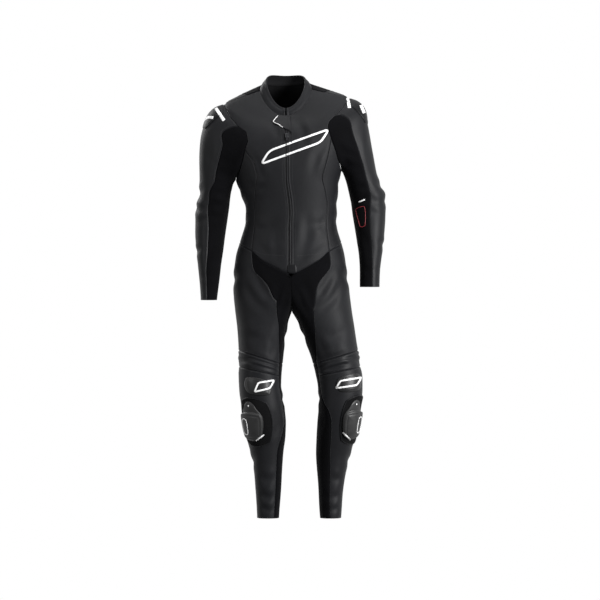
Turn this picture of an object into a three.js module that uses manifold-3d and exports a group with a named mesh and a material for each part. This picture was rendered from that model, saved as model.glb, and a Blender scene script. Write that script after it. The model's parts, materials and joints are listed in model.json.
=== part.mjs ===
// A one-piece leather race suit, hollow as it is worn. Millimetres, +Z up, the front faces -Y,
// +X is the wearer's left. The origin is at the base of the neck, between the shoulders.
import * as THREE from 'three';
import Module from 'manifold-3d';
import { mergeVertices } from 'three/addons/utils/BufferGeometryUtils.js';

const wasm = await Module();
wasm.setup();

// Cloth
const WALL = 2.4;
const SEAM_GAP = 0.3;
const SEAM_BEVEL = 0.5; // how much further the wall's inside is drawn in at a seam
const LIFT = 0.35; // air under a piece that lies on a panel
const RAD = Math.PI / 180;

// Zip
const PLACKET_HALF = 12.5;
const SLIDER_Z = -133;
const PLACKET_LIFT = 0.6;

// Torso tube, from the hips up. Each row is a ring: heights at its sides, front and back, the
// centre x, half width, centre y, depth to the front and back, boxiness, and how much the
// wearer's left side stands higher.
const torsoRows = [
  [-720, -720, -720, 10, 196, 0, 104, 112, 2.6, 0],
  [-660, -660, -660, 9, 189, 0, 110, 126, 2.5, 0],
  [-600, -600, -600, 6, 187, 0, 112, 130, 2.4, 0],
  [-540, -540, -540, 5, 182, 0, 110, 120, 2.3, 0],
  [-500, -500, -500, 5, 173, 0, 108, 106, 2.25, 0],
  [-464, -464, -464, 5, 162, 0, 106, 95, 2.2, 0],
  [-428, -428, -428, 5, 152, 0, 105, 88, 2.2, 0],
  [-385, -385, -385, 7, 149, 0, 107, 86, 2.2, 0],
  [-349, -349, -349, 5, 153, 0, 111, 92, 2.2, 0],
  [-313, -313, -313, 0, 161, 0, 116, 102, 2.25, 0],
  [-270, -270, -270, -5, 171, 0, 122, 113, 2.3, 0],
  [-225, -225, -225, -5, 181, 0, 126, 119, 2.4, 0.01],
  [-175, -185, -172, -5, 190, 1, 125, 121, 2.5, 0.03],
  [-120, -150, -115, -6, 197, 3, 120, 119, 2.6, 0.045],
  [-72, -124, -70, -7, 203, 5, 112, 113, 2.6, 0.055],
  [-38, -106, -36, -8, 206, 7, 104, 106, 2.6, 0.055],
  [-13, -94, -12, -9, 201, 8, 96, 100, 2.5, 0.05],
  [3, -84, 8, -10, 166, 8, 87, 92, 2.4, 0.045],
  [17, -73, 26, -11, 126, 8, 77, 81, 2.3, 0.035],
  [30, -62, 45, -11, 84, 8, 65, 67, 2.15, 0.03],
];
const RIDGE_END = 16; // row whose sides are the shoulder ends
const RIDGE_YOKE = 18; // row where the black yoke ends on the ridge
const NECK = 19;
const RIDGE_ANGLE = 84; // the shoulder seam lies a little in front of the ridge

// Where the shirt part and the leg parts meet: angle from the front, height
const waistRows = [
  [0, -586], [12, -564], [28, -538], [44, -509], [65, -492], [90, -479], [135, -470], [180, -466],
];

// The rise between the legs: angle round a leg tube, y, z
const riseRows = [
  [90, -111.6, -586], [105, -111, -620], [125, -103, -656], [145, -75, -688], [165, -32, -702],
  [180, 0, -706], [200, 45, -703], [220, 95, -682], [235, 122, -642], [250, 129, -585],
  [262, 112, -515], [270, 95.4, -466],
];
const CROTCH_X = 9;

// Armholes in the front view: x, z from the shoulder end down to the armpit. The third row is
// the top of the black arch.
const armholeRows = {
  left: {
    front: [[184, -26], [168, -46], [150, -65], [131, -86], [128, -101], [138, -140], [151, -176],
      [162, -212]],
    back: [[184, -40], [168, -90], [160, -145], [164, -195]],
    pit: -243,
  },
  right: {
    front: [[-203, -50], [-186, -76], [-166, -99], [-141, -119], [-135, -145], [-144, -178],
      [-153, -217], [-164, -250]],
    back: [[-196, -62], [-180, -115], [-168, -172], [-169, -225]],
    pit: -273,
  },
};
const ARCH_POINT = 2;
const SEAM_POINT = 5; // where the side panel's front seam meets the armhole
const BACK_SEAM_POINT = 3;

// Sleeves, a ring for each row: outer x, z and inner x, z in the front view
const sleeveRows = {
  left: [
    [192, -3, 174, -243], [222, -14, 175, -244], [241, -31, 176, -246], [251, -52, 178, -249],
    [258, -85, 180, -254], [267, -130, 183, -263], [277, -185, 187, -276], [288, -250, 193, -300],
    [300, -285, 199, -325], [313, -312, 205, -352], [318, -345, 209, -385], [317, -400, 215, -425],
    [313, -455, 222, -470], [306, -515, 229, -520], [300, -570, 232, -572], [297, -625, 233, -625],
  ],
  right: [
    [-210, -23, -176, -273], [-238, -34, -178, -276], [-258, -50, -181, -281],
    [-272, -72, -184, -287], [-283, -100, -186, -294], [-292, -145, -188, -303],
    [-296, -210, -191, -315], [-295, -280, -194, -335], [-296, -330, -197, -362],
    [-306, -355, -200, -385], [-309, -390, -204, -415], [-309, -445, -210, -458],
    [-305, -500, -216, -505], [-299, -556, -224, -556], [-294, -612, -230, -612],
    [-290, -668, -236, -668],
  ],
};
// For both sleeves: centre y, half depth
const sleeveDepths = [
  [8, 84], [7, 82], [7, 80], [7, 77], [8, 74], [9, 71], [10, 69], [12, 66],
  [14, 64], [15, 62], [14, 60], [8, 56], [0, 52], [-9, 47], [-18, 42], [-27, 38],
];
const SLEEVE_FADE = 7; // rows over which the armhole's form turns into the sleeve's

// Legs: outer x, z and inner x, z in the front view
const legRows = {
  left: [
    [170, -479, 9, -706], [181, -522, 19, -722], [189, -575, 30, -740], [197, -635, 41, -770],
    [206, -700, 54, -804], [216, -765, 67, -839], [226, -828, 78, -874], [233, -880, 87, -912],
    [241, -925, 94, -948], [242, -968, 97, -984], [235, -1015, 97, -1023], [229, -1065, 93, -1070],
    [220, -1115, 90, -1118], [205, -1165, 89, -1166], [189, -1225, 92, -1225],
    [178, -1300, 97, -1300], [171, -1386, 102, -1386],
  ],
  right: [
    [-160, -479, 9, -706], [-173, -522, 3, -722], [-180, -575, -3, -740], [-182, -635, -8, -770],
    [-177, -700, -13, -804], [-170, -765, -17, -839], [-166, -828, -21, -874],
    [-165, -880, -25, -912], [-166, -925, -26, -948], [-164, -968, -21, -984],
    [-157, -1015, -15, -1023], [-151, -1065, -10, -1070], [-142, -1115, -12, -1118],
    [-128, -1165, -18, -1166], [-116, -1225, -22, -1225], [-110, -1300, -27, -1300],
    [-105, -1386, -33, -1386],
  ],
};
// For both legs: centre y, front depth, back depth, boxiness
const legDepths = [
  [0, 106, 98, 3.2], [2, 108, 110, 3], [4, 108, 118, 2.8], [5, 106, 118, 2.6], [4, 102, 112, 2.4],
  [2, 98, 104, 2.3], [-1, 93, 96, 2.2], [-5, 88, 88, 2.2], [-9, 84, 80, 2.2], [-12, 80, 74, 2.15],
  [-10, 78, 72, 2.15], [-4, 73, 72, 2.1], [3, 68, 72, 2.1], [9, 61, 68, 2.1], [15, 53, 58, 2.1],
  [20, 46, 48, 2.1], [24, 42, 42, 2.1],
];
const LEG_FADE = 6;
const KNEE_TOP = 6.1; // leg rows of the seams above the knee
const KNEE_LOW = 7.15;
const HEM = 16;
const CUFF = 15;
const SIDE_SEAM = 115; // angle of the side seam, behind the wearer's side

// Colours
const leather = new THREE.MeshStandardMaterial({ color: 0x2e2f31, roughness: 0.62, metalness: 0 });
const stretch = new THREE.MeshStandardMaterial({ color: 0x141416, roughness: 0.9, metalness: 0 });
const hard = new THREE.MeshStandardMaterial({ color: 0x1c1c1e, roughness: 0.38, metalness: 0 });
const light = new THREE.MeshStandardMaterial({ color: 0xe8e8e8, roughness: 0.5, metalness: 0 });
const red = new THREE.MeshStandardMaterial({ color: 0x7a1d22, roughness: 0.6, metalness: 0 });
const metal = new THREE.MeshStandardMaterial({ color: 0xb9bbbd, roughness: 0.3, metalness: 0.9 });

const suit = new THREE.Group();

const clamp = (value, low, high) => Math.min(high, Math.max(low, value));
const smooth = (share) => {
  const t = clamp(share, 0, 1);
  return t * t * (3 - 2 * t);
};
const bend = (value, boxiness) => Math.sign(value) * Math.abs(value) ** (2 / boxiness);

// A smooth curve through values at rising knots, which never swings past them
function through(knots, values, at) {
  const last = knots.length - 1;
  const x = clamp(at, knots[0], knots[last]);
  let i = 0;
  while (i < last - 1 && x > knots[i + 1]) i += 1;
  const rise = (k) => (values[k + 1] - values[k]) / (knots[k + 1] - knots[k]);
  const slope = (k) => {
    if (k === 0) return rise(0);
    if (k === last) return rise(last - 1);
    const before = rise(k - 1);
    const after = rise(k);
    return before * after > 0 ? (2 * before * after) / (before + after) : 0;
  };
  const width = knots[i + 1] - knots[i];
  const t = (x - knots[i]) / width;
  const s = t * t;
  const c = s * t;
  return values[i] * (2 * c - 3 * s + 1) + values[i + 1] * (3 * s - 2 * c)
    + width * (slope(i) * (c - 2 * s + t) + slope(i + 1) * (c - s));
}

// The rows of a table, as one smooth function for each column
function columns(table) {
  const knots = table.map((row, index) => index);
  return table[0].map((first, c) => {
    const values = table.map((row) => row[c]);
    return (at) => through(knots, values, at);
  });
}

// Torso surface: angle from the front centre towards the wearer's left, row up the table
const torsoColumns = columns(torsoRows);
function torsoPoint({ angle, row }) {
  const [side, front, back, cx, half, cy, deepFront, deepBack, boxiness, lean] = torsoColumns
    .map((column) => column(row));
  const c = Math.cos(angle * RAD);
  const s = Math.sin(angle * RAD);
  const x = cx + half * bend(s, boxiness);
  const y = cy - (c > 0 ? deepFront : deepBack) * bend(c, boxiness);
  const z = side + ((front - back) / 2) * c + ((front + back) / 2 - side) * c * c + lean * x;
  return new THREE.Vector3(x, y, z);
}
const torso = { point: torsoPoint, turn: 1, from: -95, to: 95, rows: NECK };

// Half the angle that the zip placket takes at a row
function placketAngle(row) {
  const half = torsoColumns[4](row);
  const boxiness = torsoColumns[8](row);
  return Math.asin((PLACKET_HALF / half) ** (boxiness / 2)) / RAD;
}

// The row at which the torso has a height, at one angle
function torsoRowAt(angle, z) {
  let low = 0;
  let high = NECK;
  while (high - low > 1e-6) {
    const middle = (low + high) / 2;
    if (torsoPoint({ angle, row: middle }).z < z) low = middle;
    else high = middle;
  }
  return low;
}

function surfaceNormal(surface, place) {
  const step = 0.02;
  const angleStep = 0.5;
  const up = Math.min(place.row + step, surface.rows);
  const down = Math.max(place.row - step, 0);
  const across = surface.point({ angle: place.angle + angleStep, row: place.row })
    .sub(surface.point({ angle: place.angle - angleStep, row: place.row }));
  const along = surface.point({ angle: place.angle, row: up })
    .sub(surface.point({ angle: place.angle, row: down }));
  return across.cross(along).multiplyScalar(surface.turn).normalize();
}

// The place on a surface that the front view shows at x, z
function locate(surface, x, z) {
  const miss = (place) => {
    const p = surface.point(place);
    return Math.hypot(p.x - x, p.z - z);
  };
  let best = { angle: 0, row: 0 };
  let bestMiss = Infinity;
  for (let angle = surface.from; angle <= surface.to; angle += 8) {
    for (let row = 0; row <= surface.rows; row += 0.5) {
      const here = miss({ angle, row });
      if (here < bestMiss) {
        best = { angle, row };
        bestMiss = here;
      }
    }
  }
  for (let size = 1; size > 1e-4;) {
    let better = false;
    for (const [a, r] of [[4, 0], [-4, 0], [0, 0.25], [0, -0.25], [3, 0.2], [-3, -0.2], [3, -0.2],
      [-3, 0.2]]) {
      const place = {
        angle: clamp(best.angle + a * size, surface.from, surface.to),
        row: clamp(best.row + r * size, 0, surface.rows),
      };
      const here = miss(place);
      if (here < bestMiss - 1e-9) {
        best = place;
        bestMiss = here;
        better = true;
      }
    }
    if (!better) size /= 2;
  }
  return best;
}

// Evenly spaced places along a smooth line through given places of a surface
function sample(surface, places, count) {
  const knots = [0];
  for (let i = 1; i < places.length; i += 1) {
    const gap = surface.point(places[i]).distanceTo(surface.point(places[i - 1]));
    knots.push(knots[i - 1] + gap);
  }
  const angles = places.map((place) => place.angle);
  const rows = places.map((place) => place.row);
  const length = knots[knots.length - 1];
  return Array.from({ length: count + 1 }, (unused, i) => ({
    angle: through(knots, angles, (length * i) / count),
    row: through(knots, rows, (length * i) / count),
  }));
}
const located = (surface, points) => points.map(([x, z]) => locate(surface, x, z));
const chain = (...parts) => parts.reduce((all, part) => all.concat(part.slice(1)));
const reversed = (list) => [...list].reverse();

// Arm and leg tubes: a ring between an outer and an inner point of the front view, and at the
// first rows the form of the edge that the tube hangs from. Angle 0 is outside, 90 in front.
function limb(side, rowTable, depthTable, fadeRows, edgePoint, shape) {
  const rows = columns(rowTable[side]);
  const depths = columns(depthTable);
  const ring = (angle, row) => {
    const [ox, oz, ix, iz] = rows.map((column) => column(row));
    const [cy, front, back = front, boxiness = 2.15] = depths.map((column) => column(row));
    const c = bend(Math.cos(angle * RAD), boxiness);
    const s = bend(Math.sin(angle * RAD), boxiness);
    const y = cy - (s > 0 ? front : back) * s;
    const across = (outer, inner) => (outer + inner) / 2 + ((outer - inner) / 2) * c;
    return new THREE.Vector3(across(ox, ix), y, across(oz, iz));
  };
  const point = ({ angle, row }) => {
    const turn = ((angle % 360) + 360) % 360;
    const p = ring(turn, row);
    const fade = 1 - smooth(row / fadeRows);
    if (fade > 0) p.add(edgePoint(turn).sub(ring(turn, 0)).multiplyScalar(fade));
    return shape ? shape(p, turn) : p;
  };
  return {
    point, turn: side === 'left' ? 1 : -1, from: 0, to: 180, rows: rowTable[side].length - 1,
  };
}

// An armhole as places on the torso, with the angle of each round the sleeve
function armhole(side) {
  const sign = side === 'left' ? 1 : -1;
  const table = armholeRows[side];
  const top = { angle: sign * 90, row: RIDGE_END };
  const pit = { angle: sign * 90, row: torsoRowAt(sign * 90, table.pit) };
  const onBack = (place) => ({ angle: sign * 180 - place.angle, row: place.row });
  const front = [top, ...located(torso, table.front), pit];
  const rear = table.back.map(([x, z]) => {
    const flipped = { ...torso, point: (place) => torsoPoint(onBack(place)) };
    return onBack(locate(flipped, x, z));
  });
  const back = [pit, ...rear.reverse(), top];
  const angled = (places, start) => {
    const lengths = [0];
    places.slice(1).forEach((place, i) => {
      lengths.push(lengths[i] + torsoPoint(place).distanceTo(torsoPoint(places[i])));
    });
    const total = lengths[lengths.length - 1];
    return lengths.map((length) => start + (180 * length) / total);
  };
  const knots = [...angled(front, 0), ...angled(back, 180).slice(1)];
  const angles = [...front, ...back.slice(1)].map((place) => place.angle);
  const rows = [...front, ...back.slice(1)].map((place) => place.row);
  return {
    knots,
    place: (angle) => ({ angle: through(knots, angles, angle), row: through(knots, rows, angle) }),
  };
}

// The upper edge of a leg tube: the waist outside and the rise between the legs
const waistHeight = (angle) => through(
  waistRows.map((row) => row[0]), waistRows.map((row) => row[1]), Math.abs(angle),
);
const waistPlace = (angle) => ({ angle, row: torsoRowAt(angle, waistHeight(angle)) });
const torsoCentre = (z) => CROTCH_X + ((z + 706) / 240) * -3.4;
function legEdge(side) {
  const sign = side === 'left' ? 1 : -1;
  return (turn) => {
    if (turn <= 90) return torsoPoint(waistPlace(sign * (90 - turn)));
    if (turn >= 270) return torsoPoint(waistPlace(sign * (450 - turn)));
    const knots = riseRows.map((row) => row[0]);
    const y = through(knots, riseRows.map((row) => row[1]), turn);
    const z = through(knots, riseRows.map((row) => row[2]), turn);
    return new THREE.Vector3(torsoCentre(z), y, z);
  };
}

// Above the crotch the front and back of the legs follow the hips
const HIP_TOP = -600;
const HIP_LOW = -705;
function onHips(p, turn) {
  const weight = smooth((p.z - HIP_LOW) / (HIP_TOP - HIP_LOW));
  if (weight === 0) return p;
  const row = torsoRowAt(90, p.z - torsoColumns[9](0) * p.x);
  const share = (p.x - torsoColumns[3](row)) / torsoColumns[4](row);
  const outside = smooth((Math.abs(share) - 0.72) / 0.22);
  if (outside === 1) return p;
  const boxiness = torsoColumns[8](row);
  const depth = (1 - Math.abs(share) ** boxiness) ** (1 / boxiness);
  const reach = turn <= 180 ? -torsoColumns[6](row) : torsoColumns[7](row);
  const y = torsoColumns[5](row) + reach * depth;
  p.y += (y - p.y) * weight * (1 - outside);
  return p;
}

const sides = ['left', 'right'];
const armholes = {};
const sleeves = {};
const legs = {};
for (const side of sides) {
  const hole = armhole(side);
  armholes[side] = hole;
  const edge = (turn) => torsoPoint(hole.place(turn));
  sleeves[side] = limb(side, sleeveRows, sleeveDepths, SLEEVE_FADE, edge);
  legs[side] = limb(side, legRows, legDepths, LEG_FADE, legEdge(side), onHips);
}

// Shared places on the seams between tubes: each has its place on both and one common normal
function armholeSeam(side, from, to, count) {
  return Array.from({ length: count + 1 }, (unused, i) => {
    const angle = from + ((to - from) * i) / count;
    const onTorso = armholes[side].place(angle);
    const onSleeve = { angle, row: 0 };
    const normal = surfaceNormal(torso, onTorso).add(surfaceNormal(sleeves[side], onSleeve));
    normal.normalize();
    return { torso: { ...onTorso, normal }, limb: { ...onSleeve, normal } };
  });
}
function waistSeam(side, angles) {
  const sign = side === 'left' ? 1 : -1;
  return angles.map((angle) => {
    const onTorso = waistPlace(sign * angle);
    const onLeg = { angle: 90 - angle, row: 0 };
    const normal = surfaceNormal(torso, onTorso).add(surfaceNormal(legs[side], onLeg)).normalize();
    if (angle === 0 || angle === 180) normal.setX(0).normalize();
    return { torso: { ...onTorso, normal }, limb: { ...onLeg, normal } };
  });
}
function riseSeam(from, to, count) {
  return Array.from({ length: count + 1 }, (unused, i) => {
    const angle = from + ((to - from) * i) / count;
    const place = { angle, row: 0 };
    const normal = surfaceNormal(legs.left, place).add(surfaceNormal(legs.right, place));
    normal.setX(0).normalize();
    return { limb: { ...place, normal } };
  });
}
const onTorso = (seam) => seam.map((place) => place.torso);
const onLimb = (seam) => seam.map((place) => place.limb);

// A closed solid between an outer and an inner grid of points
function shell(name, outer, inner, material) {
  const height = outer.length;
  const width = outer[0].length;
  const positions = [];
  for (const grid of [outer, inner]) {
    for (const row of grid) for (const p of row) positions.push(p.x, p.y, p.z);
  }
  const out = (i, j) => i * width + j;
  const back = (i, j) => height * width + i * width + j;
  const index = [];
  const quad = (a, b, c, d) => index.push(a, b, c, a, c, d);
  for (let i = 0; i < height - 1; i += 1) {
    for (let j = 0; j < width - 1; j += 1) {
      quad(out(i, j), out(i, j + 1), out(i + 1, j + 1), out(i + 1, j));
      quad(back(i, j), back(i + 1, j), back(i + 1, j + 1), back(i, j + 1));
    }
  }
  for (let j = 0; j < width - 1; j += 1) {
    quad(out(0, j + 1), out(0, j), back(0, j), back(0, j + 1));
    quad(out(height - 1, j), out(height - 1, j + 1), back(height - 1, j + 1), back(height - 1, j));
  }
  for (let i = 0; i < height - 1; i += 1) {
    quad(out(i, 0), out(i + 1, 0), back(i + 1, 0), back(i, 0));
    quad(out(i + 1, width - 1), out(i, width - 1), back(i, width - 1), back(i + 1, width - 1));
  }
  let volume = 0;
  const corner = (k) => new THREE.Vector3().fromArray(positions, index[k] * 3);
  for (let k = 0; k < index.length; k += 3) {
    volume += corner(k).dot(corner(k + 1).cross(corner(k + 2)));
  }
  if (volume < 0) index.reverse();
  const geometry = new THREE.BufferGeometry();
  geometry.setAttribute('position', new THREE.Float32BufferAttribute(positions, 3));
  geometry.setIndex(index);
  geometry.computeVertexNormals();
  const mesh = new THREE.Mesh(geometry, material);
  mesh.name = name;
  suit.add(mesh);
  return mesh;
}

// The grid of places between four edges: bottom and top run one way, first and last the other
function fill(bottom, top, first, last) {
  const m = first.length - 1;
  const n = bottom.length - 1;
  const mix = (key, i, j) => {
    const u = j / n;
    const v = i / m;
    return (1 - v) * bottom[j][key] + v * top[j][key] + (1 - u) * first[i][key] + u * last[i][key]
      - (1 - u) * (1 - v) * bottom[0][key] - u * (1 - v) * bottom[n][key]
      - (1 - u) * v * top[0][key] - u * v * top[n][key];
  };
  return first.map((unused, i) => bottom.map((alsoUnused, j) => {
    if (i === 0) return bottom[j];
    if (i === m) return top[j];
    if (j === 0) return first[i];
    if (j === n) return last[i];
    return { angle: mix('angle', i, j), row: mix('row', i, j) };
  }));
}

// Draws a grid's border in by half the seam gap
function drawnIn(points, amount) {
  const m = points.length - 1;
  const n = points[0].length - 1;
  const towards = (p, inner, before, after) => {
    const along = after.clone().sub(before).normalize();
    const way = inner.clone().sub(p);
    way.addScaledVector(along, -way.dot(along)).setLength(amount);
    return way;
  };
  return points.map((line, i) => line.map((p, j) => {
    const q = p.clone();
    const before = (k) => Math.max(0, k - 1);
    if (i === 0 || i === m) {
      const inner = points[i === 0 ? 1 : m - 1][j];
      q.add(towards(p, inner, line[before(j)], line[Math.min(n, j + 1)]));
    }
    if (j === 0 || j === n) {
      const inner = line[j === 0 ? 1 : n - 1];
      q.add(towards(p, inner, points[before(i)][j], points[Math.min(m, i + 1)][j]));
    }
    return q;
  }));
}

// A sewn panel: its outer face is on the surface, its wall goes inwards. relief raises points
function panel(name, surface, edges, material, relief = () => 0) {
  const places = fill(...edges);
  const normals = places.map((line) => line.map((place) => place.normal
    ?? surfaceNormal(surface, place)));
  const points = places.map((line) => line.map((place) => surface.point(place)));
  const base = drawnIn(points, SEAM_GAP / 2);
  const under = drawnIn(points, SEAM_GAP / 2 + SEAM_BEVEL);
  const m = places.length - 1;
  const n = places[0].length - 1;
  const outer = base.map((line, i) => line.map((p, j) => p.clone()
    .addScaledVector(normals[i][j], relief(j / n, i / m))));
  const inner = under.map((line, i) => line.map((p, j) => p.clone()
    .addScaledVector(normals[i][j], -WALL)));
  return shell(name, outer, inner, material);
}

// A piece that lies on the panels: places come from shape(s, t), s and t from -1 to 1, and its
// outer face stands height(s, t) above the surface
function overlay(name, surface, shape, height, count, material, floor = LIFT) {
  const [n, m] = count;
  const line = (k, of) => (2 * k) / of - 1;
  const places = Array.from({ length: m + 1 }, (unused, i) => Array.from(
    { length: n + 1 }, (alsoUnused, j) => ({ s: line(j, n), t: line(i, m) }),
  ));
  const raised = (lift) => places.map((row) => row.map(({ s, t }) => {
    const place = shape(s, t);
    return surface.point(place).addScaledVector(surfaceNormal(surface, place), lift(s, t));
  }));
  return shell(name, raised(height), raised(() => floor), material);
}
// Rounds the square -1..1 towards a disc
const rounded = (s, t, round) => [
  s * Math.sqrt(1 - (round * t * t) / 2), t * Math.sqrt(1 - (round * s * s) / 2),
];
const rim = (s, t) => Math.max(Math.abs(s), Math.abs(t));

const NECK_FRONT = 5; // columns of a front panel at the neck
const RIDGE_COUNT = 2;
const HOLE_LOW = 4; // columns of the armhole from the side seam to the arch
const HOLE_TOP = 3; // and from the arch to the shoulder end
const PIT_COUNT = 5;
const WAIST_FRONT = 5;
const CENTRE_COUNT = 16;
const neckStart = placketAngle(NECK);
const neckAngles = Array.from({ length: NECK_FRONT + 1 }, (unused, i) => neckStart
  + ((RIDGE_ANGLE - neckStart) * i) / NECK_FRONT);
const waistAngles = (from, to, count) => Array.from(
  { length: count + 1 }, (unused, i) => from + ((to - from) * i) / count,
);
const CORNER = 44; // angle of the waist corner where the black stretch starts
const waistStart = placketAngle(torsoRowAt(0, waistHeight(0)));
const UPPER_COUNT = HOLE_LOW + HOLE_TOP + RIDGE_COUNT;

// Rows of the zip's edges: level with the outer edge of the front panels, up to the armhole's
// top, and then on to the neck
function centreRows(outside) {
  const last = CENTRE_COUNT - HOLE_TOP - RIDGE_COUNT;
  const low = outside[last].row;
  return outside.map((place, i) => (i <= last ? place.row
    : low + ((NECK - low) * (i - last)) / (HOLE_TOP + RIDGE_COUNT)));
}

// Front seams of the side panels in the front view, upwards from the waist
const princessRows = {
  left: [[126, -368], [117, -306], [109, -263], [122, -217]],
  right: [[-112, -368], [-111, -329], [-106, -257], [-116, -217]],
};

// Seams between a sleeve's leather and its black stretch in the front view, down the arm
const sleeveSeamRows = {
  left: [[172, -62], [196, -79], [205, -112], [217, -151], [236, -211], [252, -273], [264, -318],
    [263, -378], [264, -430], [270, -503], [272, -553]],
  right: [[-192, -104], [-216, -118], [-220, -174], [-231, -217], [-243, -276], [-262, -324],
    [-266, -385], [-264, -450], [-267, -510], [-271, -580]],
};
const CUFF_ANGLE = 80;

function ridge(sign, from, to, count) {
  const angleAt = (row) => sign * (row >= RIDGE_YOKE ? RIDGE_ANGLE
    : 90 - (90 - RIDGE_ANGLE) * smooth((row - RIDGE_END) / (RIDGE_YOKE - RIDGE_END)));
  return Array.from({ length: count + 1 }, (unused, i) => {
    const row = from + ((to - from) * i) / count;
    return { angle: angleAt(row), row };
  });
}

// Seam angles round the leg
const RISE_BACK = 225; // where the stretch ends on the rise
const STRIP_FRONT = { left: 148, right: 150 }; // the stretch above the knee, front and back
const STRIP_BACK = 205;
const THIGH_SIDE = -22;
const KNEE_SIDE = -48;
const BASE_LIFT = 0.9; // the loop field under the knee slider
const BASE_TOP = 2.6;
const PUCK_SHOULDER = 0.5; // above this share of its height the knee slider is a low tab
const CALF_FRONT = 152;
const CALF_SIDE = -60;
const CALF_TOP = 312;

// Middle of the shoulder protector on the sleeve
const CAP_ANGLE = -4;
const CAP_ROW = 2.1;

const SLEEVE_COUNT = 12;
const THIGH_COUNT = 10;
const SHIN_COUNT = 9;
const RIBS = 3;

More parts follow.
